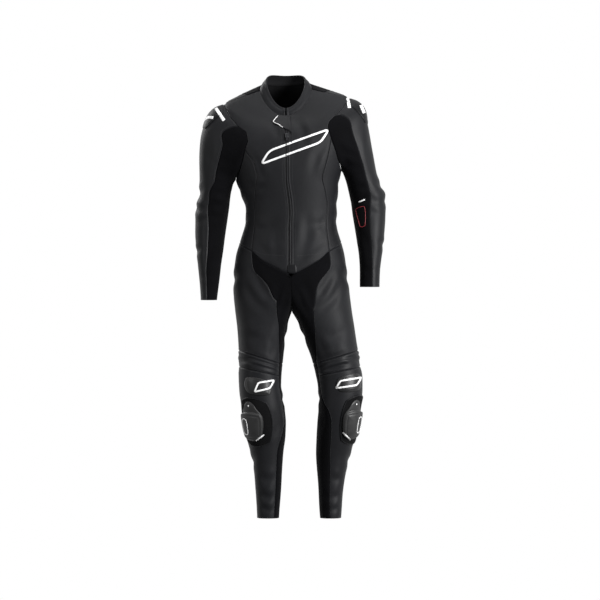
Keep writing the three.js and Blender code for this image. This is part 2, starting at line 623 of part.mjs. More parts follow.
const backSeams = {};
const zipRows = {};
for (const side of sides) {
  const sign = side === 'left' ? 1 : -1;
  const { knots } = armholes[side];
  const arch = knots[ARCH_POINT + 1];
  const join = knots[SEAM_POINT + 1];
  const backJoin = knots[knots.length - 1 - BACK_SEAM_POINT - 1];
  const topJoin = armholeSeam(side, 0, arch, HOLE_TOP);
  const frontHole = armholeSeam(side, arch, join, HOLE_LOW);
  const pitHole = armholeSeam(side, join, backJoin, PIT_COUNT);
  const backArch = 360 - arch * 0.8;
  const backLow = armholeSeam(side, backJoin, backArch, HOLE_LOW);
  const backTop = armholeSeam(side, backArch, 360, HOLE_TOP);
  backTop[HOLE_TOP] = {
    torso: { ...topJoin[0].torso, angle: sign * 90 }, limb: { ...topJoin[0].limb, angle: 360 },
  };

  // Front panel: from the zip to the side seam and the armhole, up to the neck and shoulder
  const bottomSeam = waistSeam(side, waistAngles(waistStart, CORNER, WAIST_FRONT));
  const bottom = onTorso(bottomSeam);
  const top = neckAngles.map((angle) => ({ angle: sign * angle, row: NECK }));
  const ridgeLine = chain(
    [topJoin[0].torso], ridge(sign, RIDGE_END, RIDGE_YOKE, 1), ridge(sign, RIDGE_YOKE, NECK, 1),
  );
  const corner = bottom[bottom.length - 1];
  const princess = sample(torso, [
    corner, ...located(torso, princessRows[side]), pitHole[0].torso,
  ], CENTRE_COUNT - UPPER_COUNT);
  princess[0] = corner;
  princess[princess.length - 1] = pitHole[0].torso;
  const outside = chain(
    princess, reversed(onTorso(frontHole)), reversed(onTorso(topJoin)), ridgeLine,
  );
  const rows = centreRows(outside);
  const centre = rows.map((row) => ({ angle: sign * placketAngle(row), row }));
  centre[0] = bottom[0];
  zipRows[side] = centre.map((place) => place.row);
  panel(`front_panel_${side}`, torso, [bottom, top, centre, outside], leather);

  // Side panel, to the side seam behind the wearer's side
  const sideBottom = onTorso(waistSeam(side, waistAngles(CORNER, SIDE_SEAM, PIT_COUNT)));
  const backCorner = sideBottom[PIT_COUNT];
  const backHole = pitHole[PIT_COUNT].torso;
  const sideSeam = sample(torso, [
    backCorner,
    { angle: sign * (SIDE_SEAM + 4), row: 7 },
    { angle: sign * (SIDE_SEAM + 6), row: 9.5 },
    backHole,
  ], CENTRE_COUNT - UPPER_COUNT);
  sideSeam[0] = backCorner;
  sideSeam[sideSeam.length - 1] = backHole;
  panel(`side_panel_${side}`, torso, [sideBottom, onTorso(pitHole), princess, sideSeam], leather);
  backSeams[side] = chain(
    sideSeam, onTorso(backLow), onTorso(backTop), ridgeLine.slice(0, RIDGE_COUNT),
  );

  // Sleeve: outer leather from arch to arch over the shoulder, black stretch under the arm
  const sleeve = sleeves[side];
  const frontPlaces = [...located(sleeve, sleeveSeamRows[side]), { angle: CUFF_ANGLE, row: CUFF }];
  const frontLine = sample(sleeve, [topJoin[HOLE_TOP].limb, ...frontPlaces], SLEEVE_COUNT);
  frontLine[0] = topJoin[HOLE_TOP].limb;
  const backLine = sample(sleeve, [
    backTop[0].limb,
    ...frontPlaces.map(({ angle, row }) => ({ angle: 356 - 0.94 * angle, row })),
  ], SLEEVE_COUNT);
  backLine[0] = backTop[0].limb;
  const behind = (line) => line.map((place) => ({ ...place, angle: place.angle - 360 }));
  const leatherTop = chain(behind(onLimb(backTop)), onLimb(topJoin));
  const cuffFrom = (start, end, count) => Array.from({ length: count + 1 }, (unused, i) => ({
    angle: start.angle + ((end.angle - start.angle) * i) / count, row: CUFF,
  }));
  const frontEnd = frontLine[SLEEVE_COUNT];
  const backEnd = backLine[SLEEVE_COUNT];
  panel(`sleeve_leather_${side}`, sleeve, [
    leatherTop,
    cuffFrom({ angle: backEnd.angle - 360 }, frontEnd, leatherTop.length - 1),
    behind(backLine),
    frontLine,
  ], leather);
  const stretchTop = chain(onLimb(frontHole), onLimb(pitHole), onLimb(backLow));
  panel(`sleeve_stretch_${side}`, sleeve, [
    stretchTop, cuffFrom(frontEnd, backEnd, stretchTop.length - 1), frontLine, backLine,
  ], stretch);

  // Leg: black stretch inside, leather in front and behind
  const leg = legs[side];
  const frontTop = onLimb(waistSeam(side, [0, ...waistAngles(waistStart, CORNER, WAIST_FRONT)]));
  const rise = onLimb(riseSeam(90, 180, 5));
  const riseBack = onLimb(riseSeam(180, RISE_BACK, 3));
  const riseSeat = onLimb(riseSeam(RISE_BACK, 270, 3));
  const stretchEdge = chain(reversed(frontTop), rise, riseBack);
  const sideTop = onLimb(waistSeam(side, waistAngles(CORNER, SIDE_SEAM, PIT_COUNT)));
  const seatTop = onLimb(waistSeam(side, waistAngles(SIDE_SEAM, 180, 5)));
  seatTop[5].angle = -90;
  const stretchFront = {
    left: [[135, -562], [113, -589], [93, -615], [86, -645], [82, -691], [82, -747], [85, -800]],
    right: [[-112, -576], [-86, -599], [-66, -625], [-53, -658], [-40, -707], [-33, -747],
      [-32, -800]],
  }[side];
  const stripFront = STRIP_FRONT[side];
  const thighFront = sample(leg, [
    frontTop[frontTop.length - 1], ...located(leg, stretchFront),
    { angle: stripFront, row: KNEE_TOP },
  ], THIGH_COUNT);
  thighFront[0] = frontTop[frontTop.length - 1];
  const downLeg = (first, middle, end) => thighFront.map(({ row }) => ({
    angle: through([0, KNEE_TOP / 2, KNEE_TOP], [first, middle, end], row), row,
  }));
  const thighBack = downLeg(RISE_BACK, 217, STRIP_BACK);
  thighBack[0] = riseBack[3];
  const ringFrom = (start, end, row, count) => Array.from({ length: count + 1 }, (unused, i) => ({
    angle: start + ((end - start) * i) / count, row,
  }));
  panel(`inner_thigh_stretch_${side}`, leg, [
    stretchEdge, ringFrom(stripFront, STRIP_BACK, KNEE_TOP, stretchEdge.length - 1),
    thighFront, thighBack,
  ], stretch);
  const thighSide = downLeg(90 - SIDE_SEAM, THIGH_SIDE - 1, THIGH_SIDE);
  thighSide[0] = sideTop[PIT_COUNT];
  panel(`thigh_front_${side}`, leg, [
    reversed(sideTop), ringFrom(THIGH_SIDE, stripFront, KNEE_TOP, PIT_COUNT), thighSide,
    thighFront,
  ], leather);
  const behindLeg = (line) => line.map((place) => ({ ...place, angle: place.angle - 360 }));
  const seatEdge = chain(behindLeg(riseSeat), reversed(seatTop));
  panel(`thigh_back_${side}`, leg, [
    seatEdge, ringFrom(STRIP_BACK - 360, THIGH_SIDE, KNEE_TOP, seatEdge.length - 1),
    behindLeg(thighBack), thighSide,
  ], leather);

  // Knee and shin
  const calfFront = {
    left: [[KNEE_LOW, CALF_FRONT], [8.5, 153], [9.6, 138], [10.2, 122], [10.8, 112], [11.6, 108],
      [13, 104], [14, 98], [HEM, 96]],
    right: [[KNEE_LOW, CALF_FRONT], [9, 158], [10.5, 160], [11.6, 150], [12.4, 136], [13.2, 128],
      [14, 126], [HEM, 124]],
  }[side].map(([row, angle]) => ({ row, angle }));
  const calfBack = [
    { angle: KNEE_SIDE, row: KNEE_LOW }, { angle: -56, row: 9 }, { angle: CALF_SIDE, row: 12 },
    { angle: CALF_SIDE, row: HEM },
  ];
  const KNEE_COUNT = PIT_COUNT + 1;
  const kneeTop = [
    { angle: KNEE_SIDE, row: KNEE_TOP }, ...ringFrom(THIGH_SIDE, stripFront, KNEE_TOP, PIT_COUNT),
  ];
  const kneeLow = kneeTop.map((place, i) => ({
    angle: place.angle + ((CALF_FRONT - stripFront) * i) / KNEE_COUNT, row: KNEE_LOW,
  }));

  const shinInner = sample(leg, calfFront, SHIN_COUNT);
  const shinOuter = sample(leg, calfBack, SHIN_COUNT);
  panel(`shin_front_${side}`, leg, [
    kneeLow, ringFrom(CALF_SIDE, calfFront[calfFront.length - 1].angle, HEM, KNEE_COUNT),
    shinOuter, shinInner,
  ], leather);
  const ribs = (across, up) => 1.8 * Math.sin(Math.PI * up * RIBS) ** 2 * smooth(across * 6)
    * smooth((1 - across) * 6);
  const kneeEdge = (low, high) => sample(leg, [
    { angle: low, row: KNEE_TOP }, { angle: high, row: KNEE_LOW },
  ], RIBS * 2);
  panel(`knee_accordion_${side}`, leg, [
    kneeTop, kneeLow, kneeEdge(KNEE_SIDE, KNEE_SIDE), kneeEdge(stripFront, CALF_FRONT),
  ], leather, ribs);
  const calfJoin = (low, high) => sample(leg, [
    { angle: low, row: KNEE_TOP }, { angle: high, row: KNEE_LOW },
  ], 2);
  panel(`calf_stretch_${side}`, leg, [
    ringFrom(stripFront, CALF_TOP, KNEE_TOP, 8),
    ringFrom(calfFront[calfFront.length - 1].angle, 360 + CALF_SIDE, HEM, 8),
    chain(calfJoin(stripFront, CALF_FRONT), shinInner),
    chain(calfJoin(CALF_TOP, CALF_TOP), shinOuter.map((place) => ({
      ...place, angle: place.angle + 360,
    }))),
  ], stretch);

  // Hard and padded pieces on the leg: angle and row of the middle, half spans
  const on = (angle, row, wide, tall, round) => (s, t) => {
    const [a, b] = rounded(s, t, round);
    return { angle: angle - a * wide, row: row - b * tall };
  };
  const cup = side === 'left' ? [62, 8.2] : [84, 8.38];
  overlay(`knee_cup_${side}`, leg, on(cup[0], cup[1], 36, 0.7, 0.75), (s, t) => {
    const r = rim(s, t);
    return 2.4 + 3.6 * Math.sqrt(1 - r * r * 0.98);
  }, [8, 8], hard);
  const base = side === 'left' ? [36, 10.88] : [62, 11.02];
  overlay(`slider_base_${side}`, leg, on(base[0], base[1], 48, 1.66, 0.7), (s, t) => (
    rim(s, t) > 0.99 ? 1.4 : BASE_TOP), [12, 10], stretch, BASE_LIFT);
  const puck = side === 'left' ? [46, 10.85] : [55, 10.95];
  const puckShape = (s, t) => {
    const [a, b] = rounded(s, t, 0.8);
    const narrow = 1 - 0.38 * smooth((b - PUCK_SHOULDER + 0.3) / 0.6);
    return { angle: puck[0] - a * narrow * 33, row: puck[1] - b * 1.32 };
  };
  overlay(`knee_slider_${side}`, leg, puckShape, (s, t) => {
    const r = rim(s, t);
    const body = r > 0.99 ? 7 : 12 + 6 * (1 - r * r);
    return t > PUCK_SHOULDER ? 7 : body;
  }, [8, 10], hard, BASE_TOP + BASE_LIFT);

  // Shoulder protector
  overlay(`shoulder_protector_${side}`, sleeve, (s, t) => {
    const [a, b] = rounded(s, t, 0.6);
    return { angle: CAP_ANGLE + a * 34, row: CAP_ROW + b * 1.9 };
  }, (s, t) => {
    const r = rim(s, t);
    return 1.6 + 2.8 * Math.sqrt(1 - r * r * 0.98);
  }, [8, 10], hard, 1);
}

// Back panel and the black yoke above it
const BACK_COUNT = 10;
const aroundBack = (line) => line.map((place) => ({
  ...place, angle: place.angle < 0 ? place.angle + 360 : place.angle,
}));
const backBottom = chain(
  onTorso(waistSeam('left', waistAngles(SIDE_SEAM, 180, BACK_COUNT / 2))),
  aroundBack(reversed(onTorso(waistSeam('right', waistAngles(SIDE_SEAM, 180, BACK_COUNT / 2))))),
);
const yokeLow = sample(torso, [
  { angle: RIDGE_ANGLE, row: RIDGE_YOKE }, { angle: 118, row: 17 }, { angle: 150, row: 15.9 },
  { angle: 180, row: 15.6 }, { angle: 210, row: 15.9 }, { angle: 242, row: 17 },
  { angle: 360 - RIDGE_ANGLE, row: RIDGE_YOKE },
], BACK_COUNT);
panel('back_panel', torso, [
  backBottom, yokeLow, backSeams.left, aroundBack(backSeams.right),
], leather);
const yokeTop = Array.from({ length: BACK_COUNT + 1 }, (unused, i) => ({
  angle: RIDGE_ANGLE + ((360 - 2 * RIDGE_ANGLE) * i) / BACK_COUNT, row: NECK,
}));
panel('back_yoke', torso, [
  yokeLow, yokeTop, ridge(1, RIDGE_YOKE, NECK, 1), aroundBack(ridge(-1, RIDGE_YOKE, NECK, 1)),
], stretch);

// Zip placket between the front panels
const placketEdge = (sign, side) => zipRows[side].map((row) => ({
  angle: sign * placketAngle(row), row,
}));
const placketSides = [placketEdge(-1, 'right'), placketEdge(1, 'left')];
const placketEnd = (i) => [
  placketSides[0][i], { angle: 0, row: placketSides[0][i].row }, placketSides[1][i],
];
panel('zip_placket', torso, [placketEnd(0), placketEnd(CENTRE_COUNT), ...placketSides], stretch);

// Stand collar, open at the front
const COLLAR_SLIT = 1.2;
const collarTop = { side: 52, front: -38, back: 74, cx: -10.5, half: 63, cy: 9, deepFront: 56,
  deepBack: 60 };
function collarPoint({ angle, row }) {
  const low = torsoPoint({ angle, row: NECK });
  const c = Math.cos(angle * RAD);
  const s = Math.sin(angle * RAD);
  const { side, front, back, cx, half, cy, deepFront, deepBack } = collarTop;
  const high = new THREE.Vector3(
    cx + half * s,
    cy - (c > 0 ? deepFront : deepBack) * c,
    side + ((front - back) / 2) * c + ((front + back) / 2 - side) * c * c,
  );
  const belly = 3 * Math.sin(Math.PI * clamp(row, 0, 1));
  return low.lerp(high, row).add(new THREE.Vector3(s * belly, -c * belly, 0));
}
const collar = { point: collarPoint, turn: 1, from: 0, to: 180, rows: 1 };
const collarAngles = [
  COLLAR_SLIT, ...neckAngles, ...yokeTop.slice(1, -1).map((place) => place.angle),
  ...reversed(neckAngles).map((angle) => 360 - angle), 360 - COLLAR_SLIT,
];
const COLLAR_SHIFT = 0.02; // the collar starts just above its seam
const collarRing = (row) => collarAngles.map((angle) => ({ angle, row }));
const collarEnd = (angle) => [0, 0.5, 1].map((share) => ({
  angle, row: COLLAR_SHIFT + (1 - COLLAR_SHIFT) * share,
}));
panel('collar', collar, [
  collarRing(COLLAR_SHIFT), collarRing(1), collarEnd(COLLAR_SLIT), collarEnd(360 - COLLAR_SLIT),
], leather);

// Throat flap over the top of the zip, with a light cord along its free edge
const flapLeft = [[-33, -63], [-38, -68], [-52, -85], [-36, -96], [-20, -107]];
const flapRight = [[4, -64], [5, -74], [6, -88], [8, -106], [9, -126]];
const flapLeftPlaces = located(torso, flapLeft);
const flapRightPlaces = located(torso, flapRight);
const flapShape = (s, t) => {
  const at = ((1 - t) / 2) * (flapLeft.length - 1);
  const pick = (places, key) => through(
    places.map((place, i) => i), places.map((place) => place[key]), at,
  );
  const share = (s + 1) / 2;
  return {
    angle: pick(flapLeftPlaces, 'angle') * (1 - share) + pick(flapRightPlaces, 'angle') * share,
    row: pick(flapLeftPlaces, 'row') * (1 - share) + pick(flapRightPlaces, 'row') * share,
  };
};
const FLAP_LIFT = 1.4;
const flapFace = FLAP_LIFT + WALL;
overlay('throat_flap', torso, flapShape, () => flapFace, [4, 8], leather, FLAP_LIFT);
const PIPING = 0.07;
overlay('flap_piping', torso, (s, t) => flapShape(-0.93 + PIPING * s, t * 0.97), () => (
  flapFace + LIFT + 1.4), [1, 8], light, flapFace + LIFT);

// Zip end tab
const tabCentre = locate(torso, 12, -566);
overlay('zip_end_tab', torso, (s, t) => {
  const [a, b] = rounded(s, t, 0.25);
  return { angle: tabCentre.angle + 3.1 * a, row: tabCentre.row + 0.24 * b };
}, () => LIFT + WALL, [3, 3], leather);

// Elongated outlined patch and light bar on the wearer's left forearm
const FOREARM_LIFT = 1.3;
const patchPlace = locate(sleeves.left, 237, -393);
overlay('forearm_patch', sleeves.left, (s, t) => {
  const [a, b] = rounded(s, t, 0.5);
  const taper = 1 - 0.3 * b;
  return { angle: patchPlace.angle + (17 * a - 3 * b) * taper, row: patchPlace.row + 0.84 * b };
}, () => FOREARM_LIFT + 1.6, [4, 6], red, FOREARM_LIFT);
const barPlace = locate(sleeves.left, 238, -343);
overlay('forearm_bar', sleeves.left, (s, t) => ({
  angle: barPlace.angle + 11 * s, row: barPlace.row + 0.07 * t,
}), () => FOREARM_LIFT + 1.4, [3, 1], light, FOREARM_LIFT);

// Zip slider with its hinged pull tab
const slot = surfaceNormal(torso, { angle: 0, row: torsoRowAt(0, SLIDER_Z) });
const seat = torsoPoint({ angle: 0, row: torsoRowAt(0, SLIDER_Z) });
function box(width, depth, height, x, y, z) {
  const geometry = new THREE.BoxGeometry(width, depth, height);
  geometry.translate(x, y, z);
  return geometry;
}
function rod(radius, length, y, z) {
  const geometry = new THREE.CylinderGeometry(radius, radius, length, 16);
  geometry.rotateZ(Math.PI / 2);
  geometry.translate(0, y, z);
  return geometry;
}
function solid(geometry) {
  const plain = geometry.clone();
  plain.deleteAttribute('normal');
  plain.deleteAttribute('uv');
  const merged = mergeVertices(plain);
  return new wasm.Manifold(new wasm.Mesh({
    numProp: 3, vertProperties: merged.attributes.position.array, triVerts: merged.index.array,
  }));
}
function joined(parts, holes = []) {
  const whole = parts.map(solid).reduce((all, part) => all.add(part));
  const result = holes.map(solid).reduce((all, hole) => all.subtract(hole), whole).getMesh();
  const geometry = new THREE.BufferGeometry();
  geometry.setAttribute('position', new THREE.BufferAttribute(result.vertProperties, 3));
  geometry.setIndex(new THREE.BufferAttribute(result.triVerts, 1));
  geometry.computeVertexNormals();
  return geometry;
}
const hardware = new THREE.Group();
hardware.position.copy(seat);
hardware.rotation.x = -Math.atan2(slot.z, -slot.y);
suit.add(hardware);
const SLIDER = { width: 10, tall: 13, thick: 3, lug: 2, lugTall: 3.5, lugStand: 3.6, gap: 0.3 };
const PULL = { width: 5.4, tall: 21, thick: 1.6, eye: 1.5, hole: 1 };
const PIN_RADIUS = 0.7;
const sliderFace = -(PLACKET_LIFT + SLIDER.thick);
const lugX = PULL.width / 2 + SLIDER.gap + SLIDER.lug / 2;
const hingeY = sliderFace - SLIDER.gap - PULL.eye;
const hingeZ = SLIDER.tall / 2 - SLIDER.lugTall;
const lug = (sign) => box(
  SLIDER.lug, SLIDER.lugStand + 0.5, SLIDER.lugTall,
  sign * lugX, sliderFace - SLIDER.lugStand / 2 + 0.25, hingeZ,
);
const slider = new THREE.Mesh(joined([
  box(SLIDER.width, SLIDER.thick, SLIDER.tall, 0, -PLACKET_LIFT - SLIDER.thick / 2, 0),
  lug(1),
  lug(-1),
  rod(PIN_RADIUS, lugX * 2, hingeY, hingeZ),
]), metal);
slider.name = 'zip_slider';
const pull = new THREE.Mesh(joined([
  box(PULL.width, PULL.thick, PULL.tall, 0, hingeY, hingeZ - PULL.tall / 2),
  rod(PULL.eye, PULL.width, hingeY, hingeZ),
], [
  rod(PULL.hole, PULL.width + 1, hingeY, hingeZ),
]), metal);
pull.name = 'zip_pull';
hardware.add(slider, pull);

export default suit;
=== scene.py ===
# Looks of the one-piece race suit. Metres in Blender; the tables below are in millimetres, in the
# frame of the part: +Z up, front towards -Y, +X the wearer's left.
import json
import math

import bpy
import numpy as np
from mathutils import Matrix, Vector
from mathutils.bvhtree import BVHTree

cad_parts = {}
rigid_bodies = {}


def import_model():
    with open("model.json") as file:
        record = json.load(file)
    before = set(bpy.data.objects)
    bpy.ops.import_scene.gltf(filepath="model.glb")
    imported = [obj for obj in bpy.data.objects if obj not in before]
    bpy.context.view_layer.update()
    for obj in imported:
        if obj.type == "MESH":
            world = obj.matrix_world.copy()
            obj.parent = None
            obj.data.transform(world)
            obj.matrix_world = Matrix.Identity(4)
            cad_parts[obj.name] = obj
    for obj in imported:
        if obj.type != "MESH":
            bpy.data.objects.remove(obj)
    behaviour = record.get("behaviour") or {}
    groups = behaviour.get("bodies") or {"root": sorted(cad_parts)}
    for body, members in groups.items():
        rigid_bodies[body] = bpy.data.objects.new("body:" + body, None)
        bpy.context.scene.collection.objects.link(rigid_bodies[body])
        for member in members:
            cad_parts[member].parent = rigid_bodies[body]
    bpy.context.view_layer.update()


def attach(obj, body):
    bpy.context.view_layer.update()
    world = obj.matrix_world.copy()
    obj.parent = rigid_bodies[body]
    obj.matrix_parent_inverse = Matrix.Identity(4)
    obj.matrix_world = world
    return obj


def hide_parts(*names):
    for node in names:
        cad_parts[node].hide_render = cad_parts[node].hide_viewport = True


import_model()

MM = 0.001
WALL = 2.0  # a little thinner than the solid's wall, so that the lining clears it
SEAM_DRAW = 0.15  # half the gap between two panels
SEAM_LAP = 0.5  # how far the lining runs on under the seam, so that no light shows through
SEAM_DIP = 1.5  # how far a panel's edge turns in at a seam
SEAM_ROLL = 3.2  # width of the turned edge
K = 6  # how many times finer than the solids the seam curves are

SIDES = ("left", "right")
BODY = "suit"

# Zip
PLACKET_HALF = 12.5
SLIDER_Z = -133

# Torso: heights at the sides, front and back, centre x, half width, centre y, depth to the
# front and back, boxiness, lean
TORSO = np.array([
    [-720, -720, -720, 10, 196, 0, 104, 112, 2.6, 0],
    [-660, -660, -660, 9, 189, 0, 110, 126, 2.5, 0],
    [-600, -600, -600, 6, 187, 0, 112, 130, 2.4, 0],
    [-540, -540, -540, 5, 182, 0, 110, 120, 2.3, 0],
    [-500, -500, -500, 5, 173, 0, 108, 106, 2.25, 0],
    [-464, -464, -464, 5, 162, 0, 106, 95, 2.2, 0],
    [-428, -428, -428, 5, 152, 0, 105, 88, 2.2, 0],
    [-385, -385, -385, 7, 149, 0, 107, 86, 2.2, 0],
    [-349, -349, -349, 5, 153, 0, 111, 92, 2.2, 0],
    [-313, -313, -313, 0, 161, 0, 116, 102, 2.25, 0],
    [-270, -270, -270, -5, 171, 0, 122, 113, 2.3, 0],
    [-225, -225, -225, -5, 181, 0, 126, 119, 2.4, 0.01],
    [-175, -185, -172, -5, 190, 1, 125, 121, 2.5, 0.03],
    [-120, -150, -115, -6, 197, 3, 120, 119, 2.6, 0.045],
    [-72, -124, -70, -7, 203, 5, 112, 113, 2.6, 0.055],
    [-38, -106, -36, -8, 206, 7, 104, 106, 2.6, 0.055],
    [-13, -94, -12, -9, 201, 8, 96, 100, 2.5, 0.05],
    [3, -84, 8, -10, 166, 8, 87, 92, 2.4, 0.045],
    [17, -73, 26, -11, 126, 8, 77, 81, 2.3, 0.035],
    [30, -62, 45, -11, 84, 8, 65, 67, 2.15, 0.03],
], float)
RIDGE_END = 16
RIDGE_YOKE = 18
NECK = 19
RIDGE_ANGLE = 84

WAIST = np.array([
    [0, -586], [12, -564], [28, -538], [44, -509], [65, -492], [90, -479], [135, -470],
    [180, -466],
], float)
RISE = np.array([
    [90, -111.6, -586], [105, -111, -620], [125, -103, -656], [145, -75, -688],
    [165, -32, -702], [180, 0, -706], [200, 45, -703], [220, 95, -682], [235, 122, -642],
    [250, 129, -585], [262, 112, -515], [270, 95.4, -466],
], float)
CROTCH_X = 9

ARMHOLES = {
    "left": {
        "front": [(184, -26), (168, -46), (150, -65), (131, -86), (128, -101), (138, -140),
                  (151, -176), (162, -212)],
        "back": [(184, -40), (168, -90), (160, -145), (164, -195)],
        "pit": -243,
    },
    "right": {
        "front": [(-203, -50), (-186, -76), (-166, -99), (-141, -119), (-135, -145),
                  (-144, -178), (-153, -217), (-164, -250)],
        "back": [(-196, -62), (-180, -115), (-168, -172), (-169, -225)],
        "pit": -273,
    },
}
ARCH_POINT = 2
SEAM_POINT = 5
BACK_SEAM_POINT = 3

# Sleeves: outer x, z and inner x, z in the front view
SLEEVES = {
    "left": np.array([
        [192, -3, 174, -243], [222, -14, 175, -244], [241, -31, 176, -246],
        [251, -52, 178, -249], [258, -85, 180, -254], [267, -130, 183, -263],
        [277, -185, 187, -276], [288, -250, 193, -300], [300, -285, 199, -325],
        [313, -312, 205, -352], [318, -345, 209, -385], [317, -400, 215, -425],
        [313, -455, 222, -470], [306, -515, 229, -520], [300, -570, 232, -572],
        [297, -625, 233, -625],
    ], float),
    "right": np.array([
        [-210, -23, -176, -273], [-238, -34, -178, -276], [-258, -50, -181, -281],
        [-272, -72, -184, -287], [-283, -100, -186, -294], [-292, -145, -188, -303],
        [-296, -210, -191, -315], [-295, -280, -194, -335], [-296, -330, -197, -362],
        [-306, -355, -200, -385], [-309, -390, -204, -415], [-309, -445, -210, -458],
        [-305, -500, -216, -505], [-299, -556, -224, -556], [-294, -612, -230, -612],
        [-290, -668, -236, -668],
    ], float),
}
SLEEVE_DEPTH = np.array([
    [8, 84], [7, 82], [7, 80], [7, 77], [8, 74], [9, 71], [10, 69], [12, 66],
    [14, 64], [15, 62], [14, 60], [8, 56], [0, 52], [-9, 47], [-18, 42], [-27, 38],
], float)
SLEEVE_FADE = 7

# Legs: outer x, z and inner x, z in the front view
LEGS = {
    "left": np.array([
        [170, -479, 9, -706], [181, -522, 19, -722], [189, -575, 30, -740],
        [197, -635, 41, -770], [206, -700, 54, -804], [216, -765, 67, -839],
        [226, -828, 78, -874], [233, -880, 87, -912], [241, -925, 94, -948],
        [242, -968, 97, -984], [235, -1015, 97, -1023], [229, -1065, 93, -1070],
        [220, -1115, 90, -1118], [205, -1165, 89, -1166], [189, -1225, 92, -1225],
        [178, -1300, 97, -1300], [171, -1386, 102, -1386],
    ], float),
    "right": np.array([
        [-160, -479, 9, -706], [-173, -522, 3, -722], [-180, -575, -3, -740],
        [-182, -635, -8, -770], [-177, -700, -13, -804], [-170, -765, -17, -839],
        [-166, -828, -21, -874], [-165, -880, -25, -912], [-166, -925, -26, -948],
        [-164, -968, -21, -984], [-157, -1015, -15, -1023], [-151, -1065, -10, -1070],
        [-142, -1115, -12, -1118], [-128, -1165, -18, -1166], [-116, -1225, -22, -1225],
        [-110, -1300, -27, -1300], [-105, -1386, -33, -1386],
    ], float),
}
LEG_DEPTH = np.array([
    [0, 106, 98, 3.2], [2, 108, 110, 3], [4, 108, 118, 2.8], [5, 106, 118, 2.6],
    [4, 102, 112, 2.4], [2, 98, 104, 2.3], [-1, 93, 96, 2.2], [-5, 88, 88, 2.2],
    [-9, 84, 80, 2.2], [-12, 80, 74, 2.15], [-10, 78, 72, 2.15], [-4, 73, 72, 2.1],
    [3, 68, 72, 2.1], [9, 61, 68, 2.1], [15, 53, 58, 2.1], [20, 46, 48, 2.1],
    [24, 42, 42, 2.1],
], float)
LEG_FADE = 6
KNEE_TOP = 6.1
KNEE_LOW = 7.15
HEM = 16
CUFF = 15
SIDE_SEAM = 115
CORNER = 44
RISE_BACK = 225
STRIP_FRONT = {"left": 148, "right": 150}
STRIP_BACK = 205
THIGH_SIDE = -22
KNEE_SIDE = -48
CALF_FRONT = 152
CALF_SIDE = -60
CALF_TOP = 312
CUFF_ANGLE = 80
HIP_TOP = -600
HIP_LOW = -705


def smooth(share):
    t = np.clip(share, 0, 1)
    return t * t * (3 - 2 * t)


def bend(value, boxiness):
    return np.sign(value) * np.abs(value) ** (2 / boxiness)


def through(knots, values, at):
    """A smooth curve through values at rising knots, which never swings past them."""
    knots = np.asarray(knots, float)
    values = np.asarray(values, float)
    rises = np.diff(values) / np.diff(knots)
    slopes = np.empty(len(values))
    slopes[0] = rises[0]
    slopes[-1] = rises[-1]
    before = rises[:-1]
    after = rises[1:]
    same = before * after > 0
    slopes[1:-1] = np.where(same, 2 * before * after / np.where(same, before + after, 1), 0)
    x = np.clip(np.asarray(at, float), knots[0], knots[-1])
    i = np.clip(np.searchsorted(knots, x, side="left") - 1, 0, len(knots) - 2)
    width = knots[i + 1] - knots[i]
    t = (x - knots[i]) / width
    s = t * t
    c = s * t
    return (values[i] * (2 * c - 3 * s + 1) + values[i + 1] * (3 * s - 2 * c)
            + width * (slopes[i] * (c - 2 * s + t) + slopes[i + 1] * (c - s)))


def column(table, c, row):
    return through(np.arange(len(table)), table[:, c], row)


def torso_point(angle, row):
    angle, row = np.broadcast_arrays(np.asarray(angle, float), np.asarray(row, float))
    side, front, back, cx, half, cy, deep_front, deep_back, boxiness, lean = [
        column(TORSO, c, row) for c in range(10)
    ]
    c = np.cos(np.radians(angle))
    s = np.sin(np.radians(angle))
    x = cx + half * bend(s, boxiness)
    y = cy - np.where(c > 0, deep_front, deep_back) * bend(c, boxiness)
    z = side + (front - back) / 2 * c + ((front + back) / 2 - side) * c * c + lean * x
    return np.stack([x, y, z], -1)


def placket_angle(row):
    half = column(TORSO, 4, row)
    boxiness = column(TORSO, 8, row)
    return np.degrees(np.arcsin((PLACKET_HALF / half) ** (boxiness / 2)))


def torso_row_at(angle, z):
    angle, z = np.broadcast_arrays(np.asarray(angle, float), np.asarray(z, float))
    low = np.zeros(angle.shape)
    high = np.full(angle.shape, float(NECK))
    for _ in range(24):
        middle = (low + high) / 2
        under = torso_point(angle, middle)[..., 2] < z
        low = np.where(under, middle, low)
        high = np.where(under, high, middle)
    return low


def locate(point, targets, reach, rows):
    """Angles and rows at which the front view of a surface shows the given x, z."""
    targets = np.asarray(targets, float)
    angles = np.linspace(reach[0], reach[1], 41)
    levels = np.linspace(0, rows, 61)
    grid_a, grid_r = np.meshgrid(angles, levels)
    shown = point(grid_a, grid_r)
    found = []
    for x, z in targets:
        miss = np.hypot(shown[..., 0] - x, shown[..., 2] - z)
        k = np.unravel_index(np.argmin(miss), miss.shape)
        found.append((grid_a[k], grid_r[k]))
    best = np.array(found)
    step = np.array([angles[1] - angles[0], levels[1] - levels[0]])
    offsets = np.linspace(-1, 1, 9)
    for _ in range(14):
        a = best[:, 0, None, None] + step[0] * offsets[None, :, None]
        r = best[:, 1, None, None] + step[1] * offsets[None, None, :]
        a, r = np.broadcast_arrays(np.clip(a, *sorted(reach)), np.clip(r, 0, rows))
        shown = point(a, r)
        miss = np.hypot(shown[..., 0] - targets[:, 0, None, None],
                        shown[..., 2] - targets[:, 1, None, None])
        k = miss.reshape(len(targets), -1).argmin(1)
        pick = np.arange(len(targets))
        best = np.stack([a.reshape(len(targets), -1)[pick, k],
                         r.reshape(len(targets), -1)[pick, k]], 1)
        step = step / 2.5
    return best


